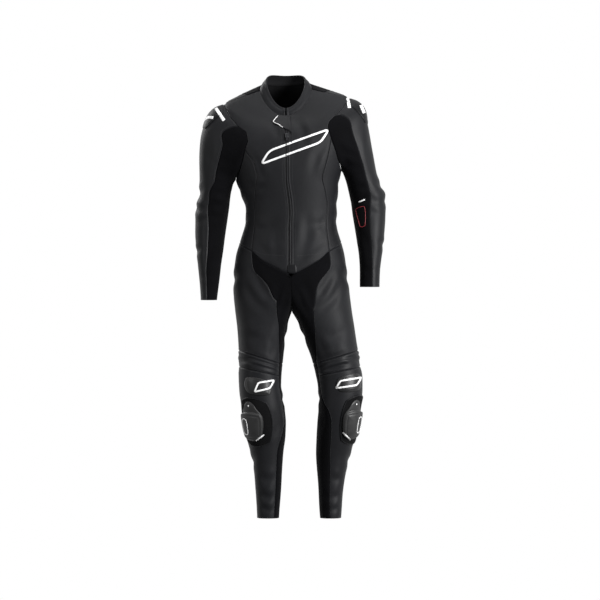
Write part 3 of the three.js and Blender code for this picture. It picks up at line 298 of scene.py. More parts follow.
def sample(point, places, count):
    """Evenly spaced places on a smooth line through given places of a surface."""
    places = np.asarray(places, float)
    shown = point(places[:, 0], places[:, 1])
    gaps = np.linalg.norm(np.diff(shown, axis=0), axis=1)
    knots = np.concatenate([[0], np.cumsum(gaps)])
    at = knots[-1] * np.arange(count + 1) / count
    return np.stack([through(knots, places[:, 0], at), through(knots, places[:, 1], at)], 1)


def line_of(start, end, count, row=None):
    """Places evenly spaced between two, or between two angles of one row."""
    if row is not None:
        start, end = (start, row), (end, row)
    share = np.arange(count + 1)[:, None] / count
    return np.asarray(start, float) * (1 - share) + np.asarray(end, float) * share


def eased(places, passes=6):
    """A line of places with its corners rounded off, ends kept."""
    for _ in range(passes):
        places = places.copy()
        places[1:-1] = (places[:-2] + 2 * places[1:-1] + places[2:]) / 4
    return places


def chain(*parts):
    return np.concatenate([parts[0], *[part[1:] for part in parts[1:]]])


def turned(places, by):
    return places + np.array([by, 0.0])


def limb(table, depth, fade_rows, edge, shape=None):
    def ring(angle, row):
        ox, oz, ix, iz = [column(table, c, row) for c in range(4)]
        cy = column(depth, 0, row)
        front = column(depth, 1, row)
        back = column(depth, 2, row) if depth.shape[1] > 2 else front
        boxiness = column(depth, 3, row) if depth.shape[1] > 3 else np.full_like(front, 2.15)
        c = bend(np.cos(np.radians(angle)), boxiness)
        s = bend(np.sin(np.radians(angle)), boxiness)
        y = cy - np.where(s > 0, front, back) * s
        return np.stack([(ox + ix) / 2 + (ox - ix) / 2 * c, y,
                         (oz + iz) / 2 + (oz - iz) / 2 * c], -1)

    def point(angle, row):
        angle, row = np.broadcast_arrays(np.asarray(angle, float), np.asarray(row, float))
        turn = np.mod(angle, 360)
        p = ring(turn, row)
        fade = 1 - smooth(row / fade_rows)
        live = fade > 0
        if live.any():
            offset = edge(turn[live]) - ring(turn[live], np.zeros(live.sum()))
            p[live] += offset * fade[live][:, None]
        return shape(p, turn) if shape else p

    return point


def armhole(side):
    sign = 1 if side == "left" else -1
    table = ARMHOLES[side]
    top = np.array([[sign * 90, RIDGE_END]], float)
    pit = np.array([[sign * 90, float(torso_row_at(sign * 90, table["pit"]))]])
    front = np.concatenate([top, locate(torso_point, table["front"], (-95, 95), NECK), pit])
    behind = locate(lambda a, r: torso_point(sign * 180 - a, r), table["back"], (-95, 95), NECK)
    behind[:, 0] = sign * 180 - behind[:, 0]
    back = np.concatenate([pit, behind[::-1], top])

    def angled(places, start):
        shown = torso_point(places[:, 0], places[:, 1])
        lengths = np.concatenate([[0], np.cumsum(np.linalg.norm(np.diff(shown, axis=0), axis=1))])
        return start + 180 * lengths / lengths[-1]

    knots = np.concatenate([angled(front, 0), angled(back, 180)[1:]])
    places = np.concatenate([front, back[1:]])

    def place(angle):
        return np.stack([through(knots, places[:, 0], angle),
                         through(knots, places[:, 1], angle)], -1)

    return knots, place


def waist_height(angle):
    return through(WAIST[:, 0], WAIST[:, 1], np.abs(angle))


def waist_place(angle):
    angle = np.asarray(angle, float)
    return np.stack([angle, torso_row_at(angle, waist_height(angle))], -1)


def leg_edge(side):
    sign = 1 if side == "left" else -1

    def edge(turn):
        turn = np.atleast_1d(turn)
        out = np.empty((len(turn), 3))
        front = turn <= 90
        rear = turn >= 270
        rise = ~(front | rear)
        for part, angle in ((front, sign * (90 - turn)), (rear, sign * (450 - turn))):
            if part.any():
                spot = waist_place(angle[part])
                out[part] = torso_point(spot[:, 0], spot[:, 1])
        if rise.any():
            y = through(RISE[:, 0], RISE[:, 1], turn[rise])
            z = through(RISE[:, 0], RISE[:, 2], turn[rise])
            out[rise] = np.stack([CROTCH_X + (z + 706) / 240 * -3.4, y, z], -1)
        return out

    return edge


def on_hips(p, turn):
    weight = smooth((p[..., 2] - HIP_LOW) / (HIP_TOP - HIP_LOW))
    row = torso_row_at(90, p[..., 2])
    share = (p[..., 0] - column(TORSO, 3, row)) / column(TORSO, 4, row)
    outside = smooth((np.abs(share) - 0.72) / 0.22)
    boxiness = column(TORSO, 8, row)
    depth = np.clip(1 - np.abs(share) ** boxiness, 0, 1) ** (1 / boxiness)
    reach = np.where(turn <= 180, -column(TORSO, 6, row), column(TORSO, 7, row))
    y = column(TORSO, 5, row) + reach * depth
    p[..., 1] += (y - p[..., 1]) * weight * (1 - outside)
    return p


armholes = {}
sleeves = {}
legs = {}
for side in SIDES:
    knots, hole_place = armhole(side)
    armholes[side] = (knots, hole_place)

    def hole_edge(turn, place=hole_place):
        spot = place(turn)
        return torso_point(spot[..., 0], spot[..., 1])

    sleeves[side] = limb(SLEEVES[side], SLEEVE_DEPTH, SLEEVE_FADE, hole_edge)
    legs[side] = limb(LEGS[side], LEG_DEPTH, LEG_FADE, leg_edge(side), on_hips)


def at_shares(line, shares):
    x = np.asarray(shares) * (len(line) - 1)
    i = np.clip(np.floor(x).astype(int), 0, len(line) - 2)
    f = (x - i)[:, None]
    return line[i] * (1 - f) + line[i + 1] * f


def fill(bottom, top, first, last, us, vs):
    """Places between four edges, at shares us along bottom and top and vs along the others."""
    b = at_shares(bottom, us)[None]
    t = at_shares(top, us)[None]
    f = at_shares(first, vs)[:, None]
    g = at_shares(last, vs)[:, None]
    u = us[None, :, None]
    v = vs[:, None, None]
    corners = ((1 - u) * (1 - v) * bottom[0] + u * (1 - v) * bottom[-1]
               + (1 - u) * v * top[0] + u * v * top[-1])
    return (1 - v) * b + v * t + (1 - u) * f + u * g - corners


BORDER = np.array([0, 0.7, 1.5, 2.5, 4.0, 6.5])  # grid lines beside an edge, mm from it
STITCH_LINE = 4


def shares_for(length, spacing):
    near = BORDER / length
    inside = max(2, int(round((length - 2 * BORDER[-1]) / spacing)))
    middle = np.linspace(near[-1], 1 - near[-1], inside + 1)
    return np.concatenate([near[:-1], middle, (1 - near[:-1])[::-1]])


def lengths_along(points, axis):
    """Distance along grid lines from their start."""
    gaps = np.linalg.norm(np.diff(points, axis=axis), axis=-1)
    pad = [(0, 0), (0, 0)]
    pad[axis] = (1, 0)
    return np.pad(np.cumsum(gaps, axis=axis), pad)


def grid_normals(points, outside):
    along_rows = np.gradient(points, axis=0)
    along_columns = np.gradient(points, axis=1)
    n = np.cross(along_columns, along_rows)
    n /= np.maximum(np.linalg.norm(n, axis=-1, keepdims=True), 1e-9)
    if (n * outside).sum() < 0:
        n = -n
    return n


def outward(kind, side, points, places):
    """Rough outward direction at points of a tube."""
    row = places[..., 1]
    if kind == "leg":
        table, depth = LEGS[side], LEG_DEPTH
    elif kind == "sleeve":
        table, depth = SLEEVES[side], SLEEVE_DEPTH
    else:
        centre = np.stack([column(TORSO, 3, row), column(TORSO, 5, row), points[..., 2]], -1)
        return points - centre
    centre = np.stack([
        (column(table, 0, row) + column(table, 2, row)) / 2, column(depth, 0, row),
        (column(table, 1, row) + column(table, 3, row)) / 2,
    ], -1)
    return points - centre


# Creases: part of the suit, the view that shows them, points (across, height) in that view,
# half width, depth of the trough, rise of the ridges beside it
CREASES = []
CREASE_STRENGTH = 1.35


def crease(part, view, line, width, depth, rise=None):
    CREASES.append((part, view, np.array(line, float), width, depth,
                    depth * 0.45 if rise is None else rise))


def creases(part, view, *rows):
    for line, half, depth in rows:
        crease(part, view, line, half, depth)


def crease_height(part, points, normals):
    height = np.zeros(points.shape[:2])
    for name, view, line, width, depth, rise in CREASES:
        if name != part:
            continue
        if view in ("front", "back"):
            across = points[..., 0]
            facing = normals[..., 1] * (-1 if view == "front" else 1)
        else:
            across = points[..., 1]
            facing = normals[..., 0] * (1 if view == "left" else -1)
        up = points[..., 2]
        lengths = np.concatenate([[0], np.cumsum(np.linalg.norm(np.diff(line, axis=0), axis=1))])
        best = np.full(up.shape, 1e9)
        side_of = np.zeros(up.shape)
        share = np.zeros(up.shape)
        for k in range(len(line) - 1):
            a, b = line[k], line[k + 1]
            d = b - a
            t = np.clip(((across - a[0]) * d[0] + (up - a[1]) * d[1]) / (d @ d), 0, 1)
            ox = across - (a[0] + d[0] * t)
            oz = up - (a[1] + d[1] * t)
            far = np.hypot(ox, oz)
            near = far < best
            best = np.where(near, far, best)
            side_of = np.where(near, np.sign(d[0] * oz - d[1] * ox), side_of)
            share = np.where(near, (lengths[k] + t * (lengths[k + 1] - lengths[k])) / lengths[-1],
                             share)
        taper = np.sin(np.pi * np.clip(share, 0.02, 0.98)) ** 0.8
        ridge = np.exp(-((best - 1.7 * width) / width) ** 2) * (1 + 0.35 * side_of)
        shape = -depth * np.exp(-(best / width) ** 2) + rise * ridge
        height += shape * taper * smooth(facing / 0.35)
    return height


def ease(part, points):
    """Slow swell of the cloth, a few tenths of a millimetre to a millimetre."""
    x, y, z = points[..., 0], points[..., 1], points[..., 2]
    shift = {"torso": 0.0, "sleeve_left": 1.3, "sleeve_right": 2.9, "leg_left": 4.1,
             "leg_right": 5.6}.get(part, 0.7)
    swell = (0.55 * np.sin(z / 41 + x / 67 + shift) * np.sin(y / 53 - z / 97 + 2 * shift)
             + 0.35 * np.sin(z / 23 - x / 37 + 3 * shift) * np.sin(x / 31 + y / 43 + shift))
    return swell


def mesh_object(name, verts, faces, uvs=None, materials=(), face_slots=None):
    mesh = bpy.data.meshes.new(name)
    mesh.from_pydata((np.asarray(verts) * MM).tolist(), [], faces)
    if uvs is not None:
        layer = mesh.uv_layers.new(name="UVMap")
        index = np.empty(len(mesh.loops), dtype=np.int32)
        mesh.loops.foreach_get("vertex_index", index)
        layer.data.foreach_set("uv", (np.asarray(uvs)[index] * MM).astype(np.float32).ravel())
    for material in materials:
        mesh.materials.append(material)
    if face_slots is not None:
        mesh.polygons.foreach_set("material_index", np.asarray(face_slots, dtype=np.int32))
    mesh.polygons.foreach_set("use_smooth", np.ones(len(mesh.polygons), dtype=bool))
    mesh.update()
    obj = bpy.data.objects.new(name, mesh)
    bpy.context.scene.collection.objects.link(obj)
    return obj


def shell_mesh(name, outer, inner, uv, materials):
    """A closed thin shell between two grids; its inside faces take the second material."""
    m, n = outer.shape[:2]
    count = m * n
    verts = np.concatenate([outer.reshape(-1, 3), inner.reshape(-1, 3)])
    uvs = np.concatenate([uv.reshape(-1, 2), uv.reshape(-1, 2)])
    index = np.arange(count).reshape(m, n)
    a, b, c, d = index[:-1, :-1], index[:-1, 1:], index[1:, 1:], index[1:, :-1]
    front = np.stack([a, b, c, d], -1).reshape(-1, 4)
    back = np.stack([a, d, c, b], -1).reshape(-1, 4) + count
    rim = np.concatenate([index[0, :], index[1:, -1], index[-1, -2::-1], index[-2:0:-1, 0]])
    after = np.roll(rim, -1)
    side = np.stack([after, rim, rim + count, after + count], -1)
    faces = np.concatenate([front, side, back])
    p = verts
    volume = 0.0
    for tri in (faces[:, [0, 1, 2]], faces[:, [0, 2, 3]]):
        volume += np.einsum("ij,ij->", p[tri[:, 0]], np.cross(p[tri[:, 1]], p[tri[:, 2]]))
    if volume < 0:
        faces = faces[:, ::-1]
    slots = np.zeros(len(faces), int)
    slots[len(front) + len(side):] = 1
    return mesh_object(name, verts, faces.tolist(), uvs, materials, slots)


patches = {}


def edge_fade(points):
    """Distance in mm from each of the four edges of a grid of points."""
    u = lengths_along(points, 1)
    v = lengths_along(points, 0)
    return u, u[:, -1:] - u, v, v[-1:, :] - v


def drawn(grid, by):
    """A grid with its border moved inwards along the surface."""
    grid = grid.copy()
    for index, step in ((0, 1), (-1, -2)):
        away = grid[step] - grid[index]
        grid[index] += by * away / np.maximum(np.linalg.norm(away, axis=-1), 1e-6)[:, None]
    for index, step in ((0, 1), (-1, -2)):
        away = grid[:, step] - grid[:, index]
        grid[:, index] += by * away / np.maximum(np.linalg.norm(away, axis=-1), 1e-6)[:, None]
    return grid


def patch(part, point, kind, side, edges, spacing=6.0, relief=None, open_edges=(), flush=()):
    """Outer and inner grid of a sewn panel. open_edges are those with a folded hem, not a seam,
    and flush those with a join that doesn't dip: bottom, top, first or last."""
    bottom, top, first, last = [np.asarray(edge, float) for edge in edges]
    rough = point(*np.moveaxis(fill(bottom, top, first, last, np.linspace(0, 1, 9),
                                    np.linspace(0, 1, 9)), -1, 0))
    wide = lengths_along(rough, 1)[:, -1].mean()
    tall = lengths_along(rough, 0)[-1, :].mean()
    us = shares_for(wide, spacing)
    vs = shares_for(tall, spacing)
    places = fill(bottom, top, first, last, us, vs)
    base = point(places[..., 0], places[..., 1])
    under = drawn(base, -SEAM_LAP)
    base = drawn(base, SEAM_DRAW)
    normals = grid_normals(base, outward(kind, side, base, places))
    if kind == "leg":
        turn = np.mod(places[..., 0], 360)
        between = (turn > 80) & (turn < 280)
        keep = np.where(between, smooth(places[..., 1] / 0.9), 1)
        normals[..., 0] *= keep
        normals /= np.linalg.norm(normals, axis=-1, keepdims=True)
    du0, du1, dv0, dv1 = edge_fade(base)
    names = {"first": du0, "last": du1, "bottom": dv0, "top": dv1}
    seam = np.full(base.shape[:2], 1e9)
    for name, far in names.items():
        if name not in open_edges and name not in flush:
            seam = np.minimum(seam, far)
    near = smooth(seam / 26)
    height = (CREASE_STRENGTH * crease_height(part, base, normals) + ease(part, base)) * (0.25 + 0.75 * near)
    height -= SEAM_DIP * (1 - smooth(seam / SEAM_ROLL)) ** 1.5
    height += 0.35 * np.exp(-((seam - 5.5) / 2.2) ** 2)
    if relief is not None:
        height += relief(places, base, normals, seam, names)
    outer = base + normals * height[..., None]
    inner = under - normals * WALL
    inner += normals * np.minimum(height, 0)[..., None] * 0.55
    uv = np.stack([du0 - du0[:, -1:] / 2, dv0], -1)
    return {"outer": outer, "inner": inner, "normals": normals, "places": places, "uv": uv,
            "wide": wide, "tall": tall, "edges": names}


def area_of(points):
    """Area in square metres of a grid of points in mm."""
    a = points[1:, 1:] - points[:-1, :-1]
    b = points[1:, :-1] - points[:-1, 1:]
    return float(np.linalg.norm(np.cross(a, b), axis=-1).sum() / 2) * 1e-6


def panel(name, part, point, kind, side, edges, materials, slot, **options):
    held = options.pop("held", "stretched")
    p = patch(part, point, kind, side, edges, **options)
    obj = shell_mesh(f"{name}_cloth", p["outer"], p["inner"], p["uv"], materials)
    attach(obj, BODY)
    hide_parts(name)
    area = area_of(p["outer"])
    u = lengths_along(p["outer"], 1)[:, -1].max() * MM
    v = lengths_along(p["outer"], 0)[-1, :].max() * MM
    u = max(u, 0.011)
    v = max(v, 0.011)
    u = min(max(u, area / v * 1.002), area / v / 0.4)
    p["obj"] = obj
    patches[name] = p
    return p


def node_material(name):
    material = bpy.data.materials.new(name)
    material.use_nodes = True
    tree = material.node_tree
    shader = tree.nodes["Principled BSDF"]
    return material, tree, shader


def add(tree, kind, **values):
    node = tree.nodes.new(kind)
    for key, value in values.items():
        if key.startswith("in_"):
            socket = key[3:]
            socket = int(socket) if socket.isdigit() else socket.replace("_", " ")
            node.inputs[socket].default_value = value
        else:
            setattr(node, key, value)
    return node


def ramp(tree, source, stops):
    node = tree.nodes.new("ShaderNodeValToRGB")
    tree.links.new(source, node.inputs[0])
    elements = node.color_ramp.elements
    while len(elements) < len(stops):
        elements.new(0.5)
    for element, (at, value) in zip(elements, stops):
        element.position = at
        element.color = (*value, 1) if hasattr(value, "__len__") else (value, value, value, 1)
    return node.outputs[0]


def bumped(tree, shader, layers):
    """Chains bump layers: each is a height socket, its strength and its distance in metres."""
    last = None
    for height, strength, distance in layers:
        node = add(tree, "ShaderNodeBump", in_Strength=strength, in_Distance=distance)
        tree.links.new(height, node.inputs["Height"])
        if last is not None:
            tree.links.new(last, node.inputs["Normal"])
        last = node.outputs["Normal"]
    tree.links.new(last, shader.inputs["Normal"])


def leather(name, colour, roughness, perforated, grain=0.35):
    material, tree, shader = node_material(name)
    links = tree.links
    place = add(tree, "ShaderNodeTexCoord")
    broad = add(tree, "ShaderNodeTexNoise", in_Scale=9.0, in_Detail=4.0, in_Roughness=0.6)
    links.new(place.outputs["Object"], broad.inputs["Vector"])
    fine = add(tree, "ShaderNodeTexNoise", in_Scale=420.0, in_Detail=3.0, in_Roughness=0.6)
    links.new(place.outputs["Object"], fine.inputs["Vector"])
    pebble = add(tree, "ShaderNodeTexVoronoi", feature="SMOOTH_F1", in_Scale=950.0)
    links.new(place.outputs["Object"], pebble.inputs["Vector"])
    dark = tuple(0.78 * c for c in colour)
    pale = tuple(1.22 * c for c in colour)
    tint = ramp(tree, broad.outputs["Fac"], [(0.3, dark), (0.72, pale)])
    speck = ramp(tree, fine.outputs["Fac"], [(0.35, 0.86), (0.65, 1.12)])
    mix = add(tree, "ShaderNodeMix", data_type="RGBA", blend_type="MULTIPLY")
    mix.inputs[0].default_value = 1.0
    links.new(tint, mix.inputs[6])
    links.new(speck, mix.inputs[7])
    out = mix.outputs[2]
    layers = [(pebble.outputs["Distance"], grain, 0.0002), (fine.outputs["Fac"], 0.25, 0.0003)]
    if perforated:
        turn = add(tree, "ShaderNodeMapping")
        turn.inputs["Rotation"].default_value = (0, 0, math.radians(45))
        links.new(place.outputs["UV"], turn.inputs["Vector"])
        holes = add(tree, "ShaderNodeTexVoronoi", voronoi_dimensions="2D", in_Scale=270.0,
                    in_Randomness=0.0)
        links.new(turn.outputs["Vector"], holes.inputs["Vector"])
        # The perforation holes are painted near black in the base colour: partly the dark lining that shows
        # through them, partly painted shade in the holes, which are only a bump; the same hole mask sinks
        # them in the bump.
        pit = ramp(tree, holes.outputs["Distance"], [(0.13, 0.0), (0.2, 1.0)])
        shade = add(tree, "ShaderNodeMix", data_type="RGBA", blend_type="MULTIPLY")
        shade.inputs[0].default_value = 0.85
        links.new(out, shade.inputs[6])
        links.new(pit, shade.inputs[7])
        out = shade.outputs[2]
        layers.insert(0, (pit, 0.6, 0.0004))
    links.new(out, shader.inputs["Base Color"])
    rough = ramp(tree, broad.outputs["Fac"],
                 [(0.25, roughness - 0.06), (0.75, roughness + 0.07)])
    links.new(rough, shader.inputs["Roughness"])
    shader.inputs["Specular IOR Level"].default_value = 0.16
    bumped(tree, shader, layers)
    return material


def knit(name, colour, roughness=0.88, scale=620.0):
    material, tree, shader = node_material(name)
    links = tree.links
    place = add(tree, "ShaderNodeTexCoord")
    rows = add(tree, "ShaderNodeTexWave", wave_type="BANDS", bands_direction="Y", in_Scale=scale / 6.28)
    links.new(place.outputs["UV"], rows.inputs["Vector"])
    ribs = add(tree, "ShaderNodeTexWave", wave_type="BANDS", bands_direction="X",
               in_Scale=scale / 3.14)
    links.new(place.outputs["UV"], ribs.inputs["Vector"])
    both = add(tree, "ShaderNodeMath", operation="MULTIPLY")
    links.new(rows.outputs["Fac"], both.inputs[0])
    links.new(ribs.outputs["Fac"], both.inputs[1])
    broad = add(tree, "ShaderNodeTexNoise", in_Scale=12.0, in_Detail=3.0)
    links.new(place.outputs["Object"], broad.inputs["Vector"])
    dark = tuple(0.75 * c for c in colour)
    pale = tuple(1.25 * c for c in colour)
    tint = ramp(tree, broad.outputs["Fac"], [(0.3, dark), (0.7, pale)])
    # The knit's valleys, where its bump is low, are painted darker in the base colour: painted shade between
    # the rows and ribs.
    shade = ramp(tree, both.outputs[0], [(0.0, 0.7), (0.8, 1.15)])
    mix = add(tree, "ShaderNodeMix", data_type="RGBA", blend_type="MULTIPLY")
    mix.inputs[0].default_value = 1.0
    links.new(tint, mix.inputs[6])
    links.new(shade, mix.inputs[7])
    links.new(mix.outputs[2], shader.inputs["Base Color"])
    shader.inputs["Roughness"].default_value = roughness
    shader.inputs["Sheen Weight"].default_value = 0.02
    shader.inputs["Sheen Roughness"].default_value = 0.5
    shader.inputs["Specular IOR Level"].default_value = 0.06
    bumped(tree, shader, [(both.outputs[0], 0.5, 0.0004)])
    return material


def moulded(name, colour, roughness, metal=0.0, scratch=0.15):
    material, tree, shader = node_material(name)
    links = tree.links
    place = add(tree, "ShaderNodeTexCoord")
    grain = add(tree, "ShaderNodeTexNoise", in_Scale=700.0, in_Detail=2.0)
    links.new(place.outputs["Object"], grain.inputs["Vector"])
    scuff = add(tree, "ShaderNodeTexNoise", in_Scale=45.0, in_Detail=5.0, in_Roughness=0.7)
    links.new(place.outputs["Object"], scuff.inputs["Vector"])
    dark = tuple(0.85 * c for c in colour)
    pale = tuple(min(1.0, 1.12 * c) for c in colour)
    tint = ramp(tree, scuff.outputs["Fac"], [(0.35, dark), (0.7, pale)])
    links.new(tint, shader.inputs["Base Color"])
    rough = ramp(tree, scuff.outputs["Fac"],
                 [(0.3, max(0.05, roughness - 0.06)), (0.7, roughness + 0.08)])
    links.new(rough, shader.inputs["Roughness"])
    shader.inputs["Metallic"].default_value = metal
    bumped(tree, shader, [(grain.outputs["Fac"], scratch, 0.0002)])
    return material


LEATHER = (0.0088, 0.0091, 0.0106)
leather_main = leather("suit_leather_perforated", LEATHER, 0.56, True)
leather_plain = leather("suit_leather_grain", tuple(0.92 * c for c in LEATHER), 0.52, False)
leather_trim = leather("suit_leather_trim", tuple(0.6 * c for c in LEATHER), 0.45, False, 0.25)
stretch = knit("suit_stretch_knit", (0.0022, 0.0022, 0.0029))
lining = knit("suit_lining_mesh", (0.012, 0.012, 0.013), 0.92, 420.0)
loop_pile = knit("suit_loop_pile", (0.006, 0.006, 0.0065), 0.95, 900.0)
thread = moulded("suit_thread", (0.02, 0.02, 0.022), 0.6)
white_rubber = moulded("suit_white_print", (0.82, 0.82, 0.82), 0.42, 0.0, 0.08)
red_print = moulded("suit_red_print", (0.22, 0.016, 0.022), 0.5, 0.0, 0.1)
black_plastic = moulded("suit_black_plastic", (0.007, 0.007, 0.0076), 0.42)
puck_plastic = moulded("suit_puck_plastic", (0.014, 0.014, 0.0145), 0.5)
zip_metal = moulded("suit_zip_metal", (0.15, 0.155, 0.16), 0.34, 1.0, 0.05)
pull_metal = moulded("suit_pull_metal", (0.05, 0.05, 0.055), 0.4, 1.0, 0.05)
zip_dark = moulded("suit_zip_teeth", (0.012, 0.012, 0.013), 0.5, 0.6, 0.05)
zip_cloth = knit("suit_zip_tape", (0.0015, 0.0015, 0.0017), 0.95)

# Main creases, placed one by one after the photograph, and similar ones where it doesn't show
creases("torso", "front",
        ([(34, -548), (58, -470), (62, -380)], 17, 2.6),
        ([(-30, -552), (-44, -490), (-40, -420)], 14, 1.8),
        ([(22, -70), (46, -120), (52, -175)], 13, 2.4),
        ([(-60, -78), (-40, -118), (-26, -150)], 12, 1.8),
        ([(128, -150), (92, -196), (70, -262)], 15, 2.4),
        ([(-132, -190), (-104, -226), (-88, -286)], 15, 2.2),
        ([(-140, -285), (-108, -300), (-70, -306)], 12, 1.6),
        ([(142, -395), (104, -420), (66, -424)], 13, 2.0),
        ([(-138, -410), (-102, -436), (-60, -438)], 13, 1.8),
        ([(120, -470), (80, -500), (40, -520)], 12, 1.7),
        ([(-112, -478), (-74, -512), (-36, -526)], 12, 1.5))
creases("torso", "left",
        ([(-70, -330), (-10, -352), (60, -345)], 15, 1.5),
        ([(-60, -395), (0, -410), (66, -398)], 13, 1.3),
        ([(-50, -268), (10, -290), (70, -276)], 13, 1.1))
creases("torso", "right",
        ([(-74, -338), (-8, -360), (58, -350)], 15, 1.4),
        ([(-56, -402), (6, -420), (68, -404)], 13, 1.2),
        ([(-44, -300), (14, -312), (70, -300)], 12, 1.0))
creases("torso", "back",
        ([(-120, -372), (-50, -398), (20, -390), (110, -366)], 17, 3.0),
        ([(-96, -424), (-10, -438), (92, -420)], 15, 2.4),
        ([(-104, -330), (-30, -346), (60, -338)], 14, 1.9),
        ([(120, -150), (84, -210), (66, -280)], 17, 2.3),
        ([(-128, -170), (-90, -226), (-72, -296)], 17, 2.2),
        ([(-60, -96), (0, -112), (58, -94)], 16, 1.6))

for side, sign, drop in (("left", 1, 0), ("right", -1, -22)):
    part = f"sleeve_{side}"
    crease(part, "front", [(sign * 150, -160 + drop), (sign * 190, -190 + drop),
                           (sign * 232, -196 + drop)], 11, 2.6)
    crease(part, "front", [(sign * 166, -205 + drop), (sign * 204, -232 + drop),
                           (sign * 242, -236 + drop)], 11, 2.2)
    crease(part, "front", [(sign * 200, -300 + drop), (sign * 236, -296 + drop),
                           (sign * 276, -312 + drop)], 11, 3.4)
    crease(part, "front", [(sign * 204, -338 + drop), (sign * 246, -330 + drop),
                           (sign * 296, -352 + drop)], 12, 3.6)
    crease(part, "front", [(sign * 214, -378 + drop), (sign * 256, -372 + drop),
                           (sign * 300, -392 + drop)], 10, 2.4)
    crease(part, "front", [(sign * 236, -440 + drop), (sign * 262, -486 + drop),
                           (sign * 270, -540 + drop)], 12, 1.8)
    crease(part, "front", [(sign * 238, -560 + drop), (sign * 264, -574 + drop),
                           (sign * 292, -568 + drop)], 9, 2.0)
    crease(part, "front", [(sign * 268, -110 + drop), (sign * 262, -190 + drop),
                           (sign * 274, -260 + drop)], 14, 1.7)
    crease(part, "back", [(sign * 176, -160 + drop), (sign * 216, -182 + drop),
                          (sign * 256, -176 + drop)], 13, 2.4)
    crease(part, "back", [(sign * 186, -230 + drop), (sign * 226, -250 + drop),
                          (sign * 270, -236 + drop)], 13, 2.1)
    crease(part, "back", [(sign * 216, -408 + drop), (sign * 256, -424 + drop),
                          (sign * 302, -410 + drop)], 11, 2.3)
    crease(part, "back", [(sign * 240, -520 + drop), (sign * 266, -530 + drop),
                          (sign * 296, -516 + drop)], 10, 1.9)
    view = side
    crease(part, view, [(-44, -282 + drop), (0, -296 + drop), (52, -288 + drop)], 12, 2.2)
    crease(part, view, [(-40, -352 + drop), (8, -340 + drop), (54, -356 + drop)], 12, 2.5)
    crease(part, view, [(-52, -470 + drop), (-14, -490 + drop), (24, -478 + drop)], 10, 1.8)

creases("leg_left", "front",
        ([(150, -560), (120, -620), (84, -670)], 13, 2.6),
        ([(176, -600), (140, -668), (92, -712)], 14, 2.2),
        ([(44, -598), (64, -640), (76, -690)], 12, 2.6),
        ([(28, -640), (48, -690), (74, -724)], 11, 2.4),
        ([(196, -760), (156, -784), (116, -788)], 15, 1.9),
        ([(92, -896), (128, -862), (176, -848), (222, -860)], 10, 3.6),
        ([(96, -926), (134, -892), (180, -880), (230, -890)], 9, 2.6),
        ([(92, -790), (112, -830), (120, -872)], 12, 2.0),
        ([(104, -1020), (112, -1060), (106, -1104)], 11, 1.9),
        ([(112, -1236), (146, -1258), (178, -1248)], 13, 2.4),
        ([(106, -1300), (138, -1318), (168, -1306)], 11, 2.6),
        ([(108, -1346), (140, -1358), (166, -1350)], 9, 2.2))
creases("leg_left", "left",
        ([(-80, -560), (-10, -600), (70, -596)], 15, 2.2),
        ([(-86, -860), (-20, -880), (40, -868)], 12, 2.4),
        ([(-40, -1180), (20, -1200), (66, -1188)], 12, 1.9))
creases("leg_left", "back",
        ([(60, -690), (110, -676), (170, -690)], 15, 3.2),
        ([(70, -730), (120, -712), (176, -726)], 13, 2.2),
        ([(100, -960), (160, -978), (226, -956)], 12, 3.4),
        ([(104, -1000), (164, -1014), (222, -996)], 12, 3.0),
        ([(98, -1044), (160, -1054), (216, -1040)], 11, 2.2),
        ([(108, -1250), (144, -1266), (176, -1252)], 11, 2.2),
        ([(110, -1318), (140, -1330), (168, -1320)], 10, 2.4))
creases("leg_left", "right",
        ([(-60, -760), (0, -790), (66, -776)], 15, 2.3),
        ([(-50, -980), (10, -1000), (60, -984)], 12, 2.4))
creases("leg_right", "front",
        ([(-118, -570), (-90, -626), (-56, -668)], 13, 2.4),
        ([(-150, -610), (-110, -676), (-62, -716)], 14, 2.0),
        ([(-24, -604), (-40, -650), (-42, -700)], 11, 2.4),
        ([(-8, -650), (-24, -700), (-34, -736)], 10, 2.2),
        ([(-160, -770), (-118, -792), (-74, -794)], 15, 1.8),
        ([(-150, -862), (-112, -856), (-76, -870), (-46, -880)], 10, 3.4),
        ([(-148, -894), (-106, -886), (-66, -900), (-40, -916)], 9, 2.4),
        ([(-54, -790), (-52, -830), (-62, -868)], 11, 2.2),
        ([(-44, -1030), (-38, -1080), (-46, -1120)], 11, 1.8),
        ([(-104, -1240), (-70, -1258), (-34, -1246)], 13, 2.4),
        ([(-100, -1300), (-70, -1316), (-38, -1306)], 11, 2.6),
        ([(-96, -1346), (-68, -1358), (-42, -1350)], 9, 2.2))
creases("leg_right", "right",
        ([(-80, -566), (-14, -604), (66, -602)], 15, 2.2),
        ([(-84, -866), (-16, -884), (44, -874)], 12, 2.4),
        ([(-40, -1184), (18, -1204), (62, -1192)], 12, 1.9))
creases("leg_right", "back",
        ([(-140, -690), (-88, -676), (-30, -692)], 15, 3.0),
        ([(-146, -732), (-92, -716), (-36, -728)], 13, 2.2),
        ([(-150, -960), (-90, -980), (-30, -962)], 12, 3.4),
        ([(-146, -1002), (-88, -1018), (-24, -1000)], 12, 2.8),
        ([(-138, -1046), (-82, -1058), (-22, -1044)], 11, 2.2),
        ([(-104, -1252), (-70, -1268), (-34, -1254)], 11, 2.2),
        ([(-96, -1318), (-68, -1332), (-40, -1320)], 10, 2.4))
creases("leg_right", "left",
        ([(-60, -766), (0, -794), (64, -780)], 15, 2.2),
        ([(-50, -984), (8, -1004), (58, -990)], 12, 2.4))

# Counts of the seam samples, as on the solids but finer
NECK_FRONT = 5 * K
RIDGE_COUNT = 2 * K
HOLE_LOW = 4 * K
HOLE_TOP = 3 * K
PIT_COUNT = 5 * K
WAIST_FRONT = 5 * K
CENTRE_COUNT = 16 * K
UPPER_COUNT = HOLE_LOW + HOLE_TOP + RIDGE_COUNT

